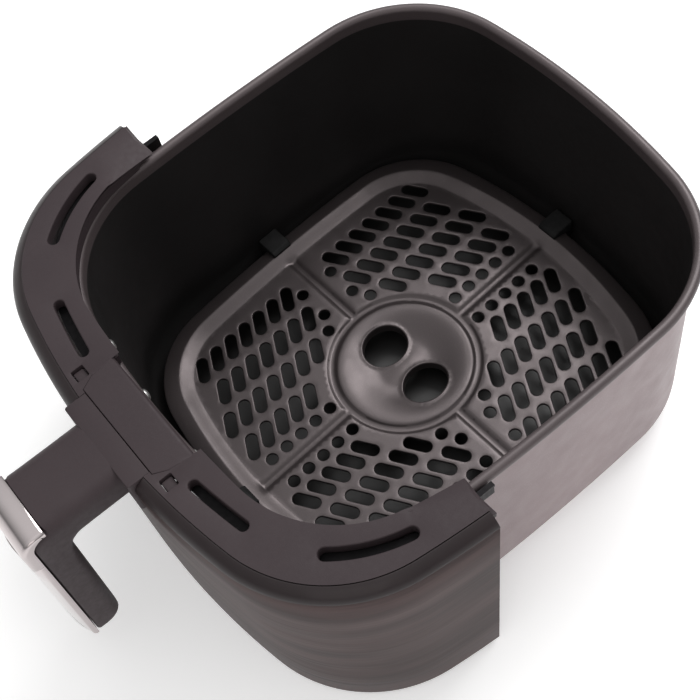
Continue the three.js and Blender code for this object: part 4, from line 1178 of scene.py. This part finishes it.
def build_strip():
    """The bright strip down the front of the grip, bowed across its width."""
    back = GRIP_FRONT_Y - GAP
    bow = back - STRIP_SHEET - TRIM_FRONT_Y
    across = np.linspace(ARM_HALF, -ARM_HALF, 25)
    levels = [(GRIP_FOOT_Z + rise, inset) for rise, inset in ((-1, 1.6), (-0.6, 0.8), (0.4, 0.2), (2, 0.0))]
    levels += [(z, 0.0) for z in (60, 80, 100, CAP_FOOT_Z - GAP - 0.4)]
    levels.append((CAP_FOOT_Z - GAP, 0.3))
    sections = []
    for z, inset in levels:
        depth = STRIP_SHEET + bow * (1 - (across / ARM_HALF) ** 2)
        front_y = back - np.maximum(depth - inset, 0.6)
        front_line = np.column_stack([across, front_y, np.full_like(across, z)])
        edge = [(-ARM_HALF, back, z), (ARM_HALF, back, z)]
        sections.append(np.concatenate([front_line, edge]))
    points, faces = skin(sections, capped=True)
    item = make_object("chrome_strip_bar", lean(points), faces, sharp_angle=50)
    soften(item, 0.5, 3, 50)
    place(item, "drawer", "chrome_strip", CHROME)


# ---- fasteners and bracket ----

RIVET_LENGTH = 6.3


def build_rivets():
    """Domed rivets through the front wall, each turned to the wall's own direction."""
    foot = -RIVET_LENGTH / 2
    dome = [(0, 0), (1.3, 0.05), (2.3, 0.4), (2.9, 0.95), (3.1, 1.5), (1.6, 1.55)]
    tail = [(1.6, 1.15), (2.8, 1.1), (2.6, 0.3), (0, 0)]
    profile = [(radius, foot + rise) for radius, rise in dome]
    profile += [(radius, -foot - rise) for radius, rise in tail]
    for index in range(1, 5):
        node = f"pan_rivet_{index}"
        low, high = (np.array(corner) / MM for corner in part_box(node))
        middle = (low + high) / 2
        item = make_object(node + "_stud", *turn_profile(profile), sharp_angle=45)
        turn = math.asin(middle[0] / BEAD_LINE[3])
        item.data.transform(Matrix.Rotation(math.pi / 2, 4, "X"))
        item.data.transform(Matrix.Rotation(turn, 4, "Z"))
        item.data.transform(Matrix.Translation(Vector(middle * MM)))
        place(item, "drawer", node, BRIGHT_STEEL)


def finish_cad_nodes():
    """Better materials for the CAD nodes that stay."""
    screws = [f"frame_screw_{index}" for index in range(1, 5)]
    screws += [f"handle_screw_{index}" for index in (1, 2)]
    materials = {"bracket": DARK_STEEL, **dict.fromkeys(screws, BRIGHT_STEEL)}
    for node, material in materials.items():
        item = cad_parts[node]
        item.data.materials.clear()
        item.data.materials.append(material)


# ---- floor, light and camera ----

FLOOR_GLOW = 0.35
FLOOR_REACH = 6000
FLOOR_Z = -0.2

# Brightness of the sky near the horizon, overhead and between, each as (height, level).
SKY = ((0.05, 0.95), (1.0, 0.28), (0.3, 0.25))


def build_stage():
    """A pale floor under a studio sky that is white at the horizon and greyer overhead."""
    plan = rectangle(-FLOOR_REACH, FLOOR_REACH, -FLOOR_REACH, FLOOR_REACH)
    floor = make_object("floor", with_z(plan, FLOOR_Z), [(0, 1, 2, 3)])
    n = Nodes("pale_floor")
    pale = n.blend(n.noise(3, 2), (0.9, 0.9, 0.9), (0.92, 0.92, 0.92))
    n.set(Base_Color=pale, Roughness=0.8, Emission_Color=pale, Emission_Strength=FLOOR_GLOW)
    floor.data.materials.append(n.material)
    world = bpy.data.worlds.new("studio")
    world.use_nodes = True
    tree = world.node_tree
    coords = tree.nodes.new("ShaderNodeTexCoord")
    split = tree.nodes.new("ShaderNodeSeparateXYZ")
    ramp = tree.nodes.new("ShaderNodeValToRGB")
    elements = ramp.color_ramp.elements
    for element, (position, level) in zip([*elements, elements.new(0.5)], SKY):
        element.position = position
        element.color = (level, level, level, 1)
    tree.links.new(coords.outputs["Generated"], split.inputs["Vector"])
    tree.links.new(split.outputs["Z"], ramp.inputs["Fac"])
    tree.links.new(ramp.outputs["Color"], tree.nodes["Background"].inputs["Color"])
    bpy.context.scene.world = world


def add_light(name, place_at, target, size, power, colour=(1, 1, 1)):
    data = bpy.data.lights.new(name, "AREA")
    data.shape = "RECTANGLE"
    data.size, data.size_y = size
    data.energy = power
    data.color = colour
    lamp = bpy.data.objects.new(name, data)
    lamp.location = place_at
    lamp.rotation_euler = (Vector(target) - Vector(place_at)).to_track_quat("-Z", "Y").to_euler()
    bpy.context.scene.collection.objects.link(lamp)


def build_lights():
    add_light("key", (-0.25, 0.75, 1.15), (0, 0, 0.05), (0.9, 0.7), 13)
    add_light("fill", (0.9, -0.8, 0.9), (0, -0.05, 0.08), (0.8, 0.8), 1.5, (1.0, 0.93, 0.9))


# The camera looks down past the middle of the plate. Angles in degrees; side, rise and distance in mm.
CAMERA_AZIMUTH = 65.54
CAMERA_ELEVATION = 60.60
CAMERA_ROLL = -16.30
CAMERA_SIDE = -28.47
CAMERA_RISE = 6.25
CAMERA_DISTANCE = 722.55
CAMERA_LENS = 71.415
CAMERA_SENSOR = 36


def build_camera():
    az, el, roll = (math.radians(v) for v in (CAMERA_AZIMUTH, CAMERA_ELEVATION, CAMERA_ROLL))
    back = Vector((math.sin(az) * math.cos(el), -math.cos(az) * math.cos(el), math.sin(el)))
    right = Vector((math.cos(az), math.sin(az), 0))
    up = back.cross(right)
    turned_right = right * math.cos(roll) + up * math.sin(roll)
    turned_up = up * math.cos(roll) - right * math.sin(roll)
    centre = Vector((0, 0, PLATE_Z))
    spot = centre + turned_right * CAMERA_SIDE + turned_up * CAMERA_RISE + back * CAMERA_DISTANCE
    data = bpy.data.cameras.new("camera")
    data.lens = CAMERA_LENS
    data.sensor_width = CAMERA_SENSOR
    camera = bpy.data.objects.new("camera", data)
    turn = Matrix((turned_right, turned_up, back)).transposed().to_4x4()
    camera.matrix_world = Matrix.Translation(spot * MM) @ turn
    bpy.context.scene.collection.objects.link(camera)
    bpy.context.scene.camera = camera


build_camera()
build_stage()
build_lights()
build_pan()
build_plate()
build_bumpers()
build_trim_bands()
build_front_panel()
build_top_frame()
build_handle()
build_cover()
build_catches()
build_cap()
build_strip()
build_rivets()
finish_cad_nodes()

bpy.context.scene.view_settings.view_transform = "Standard"
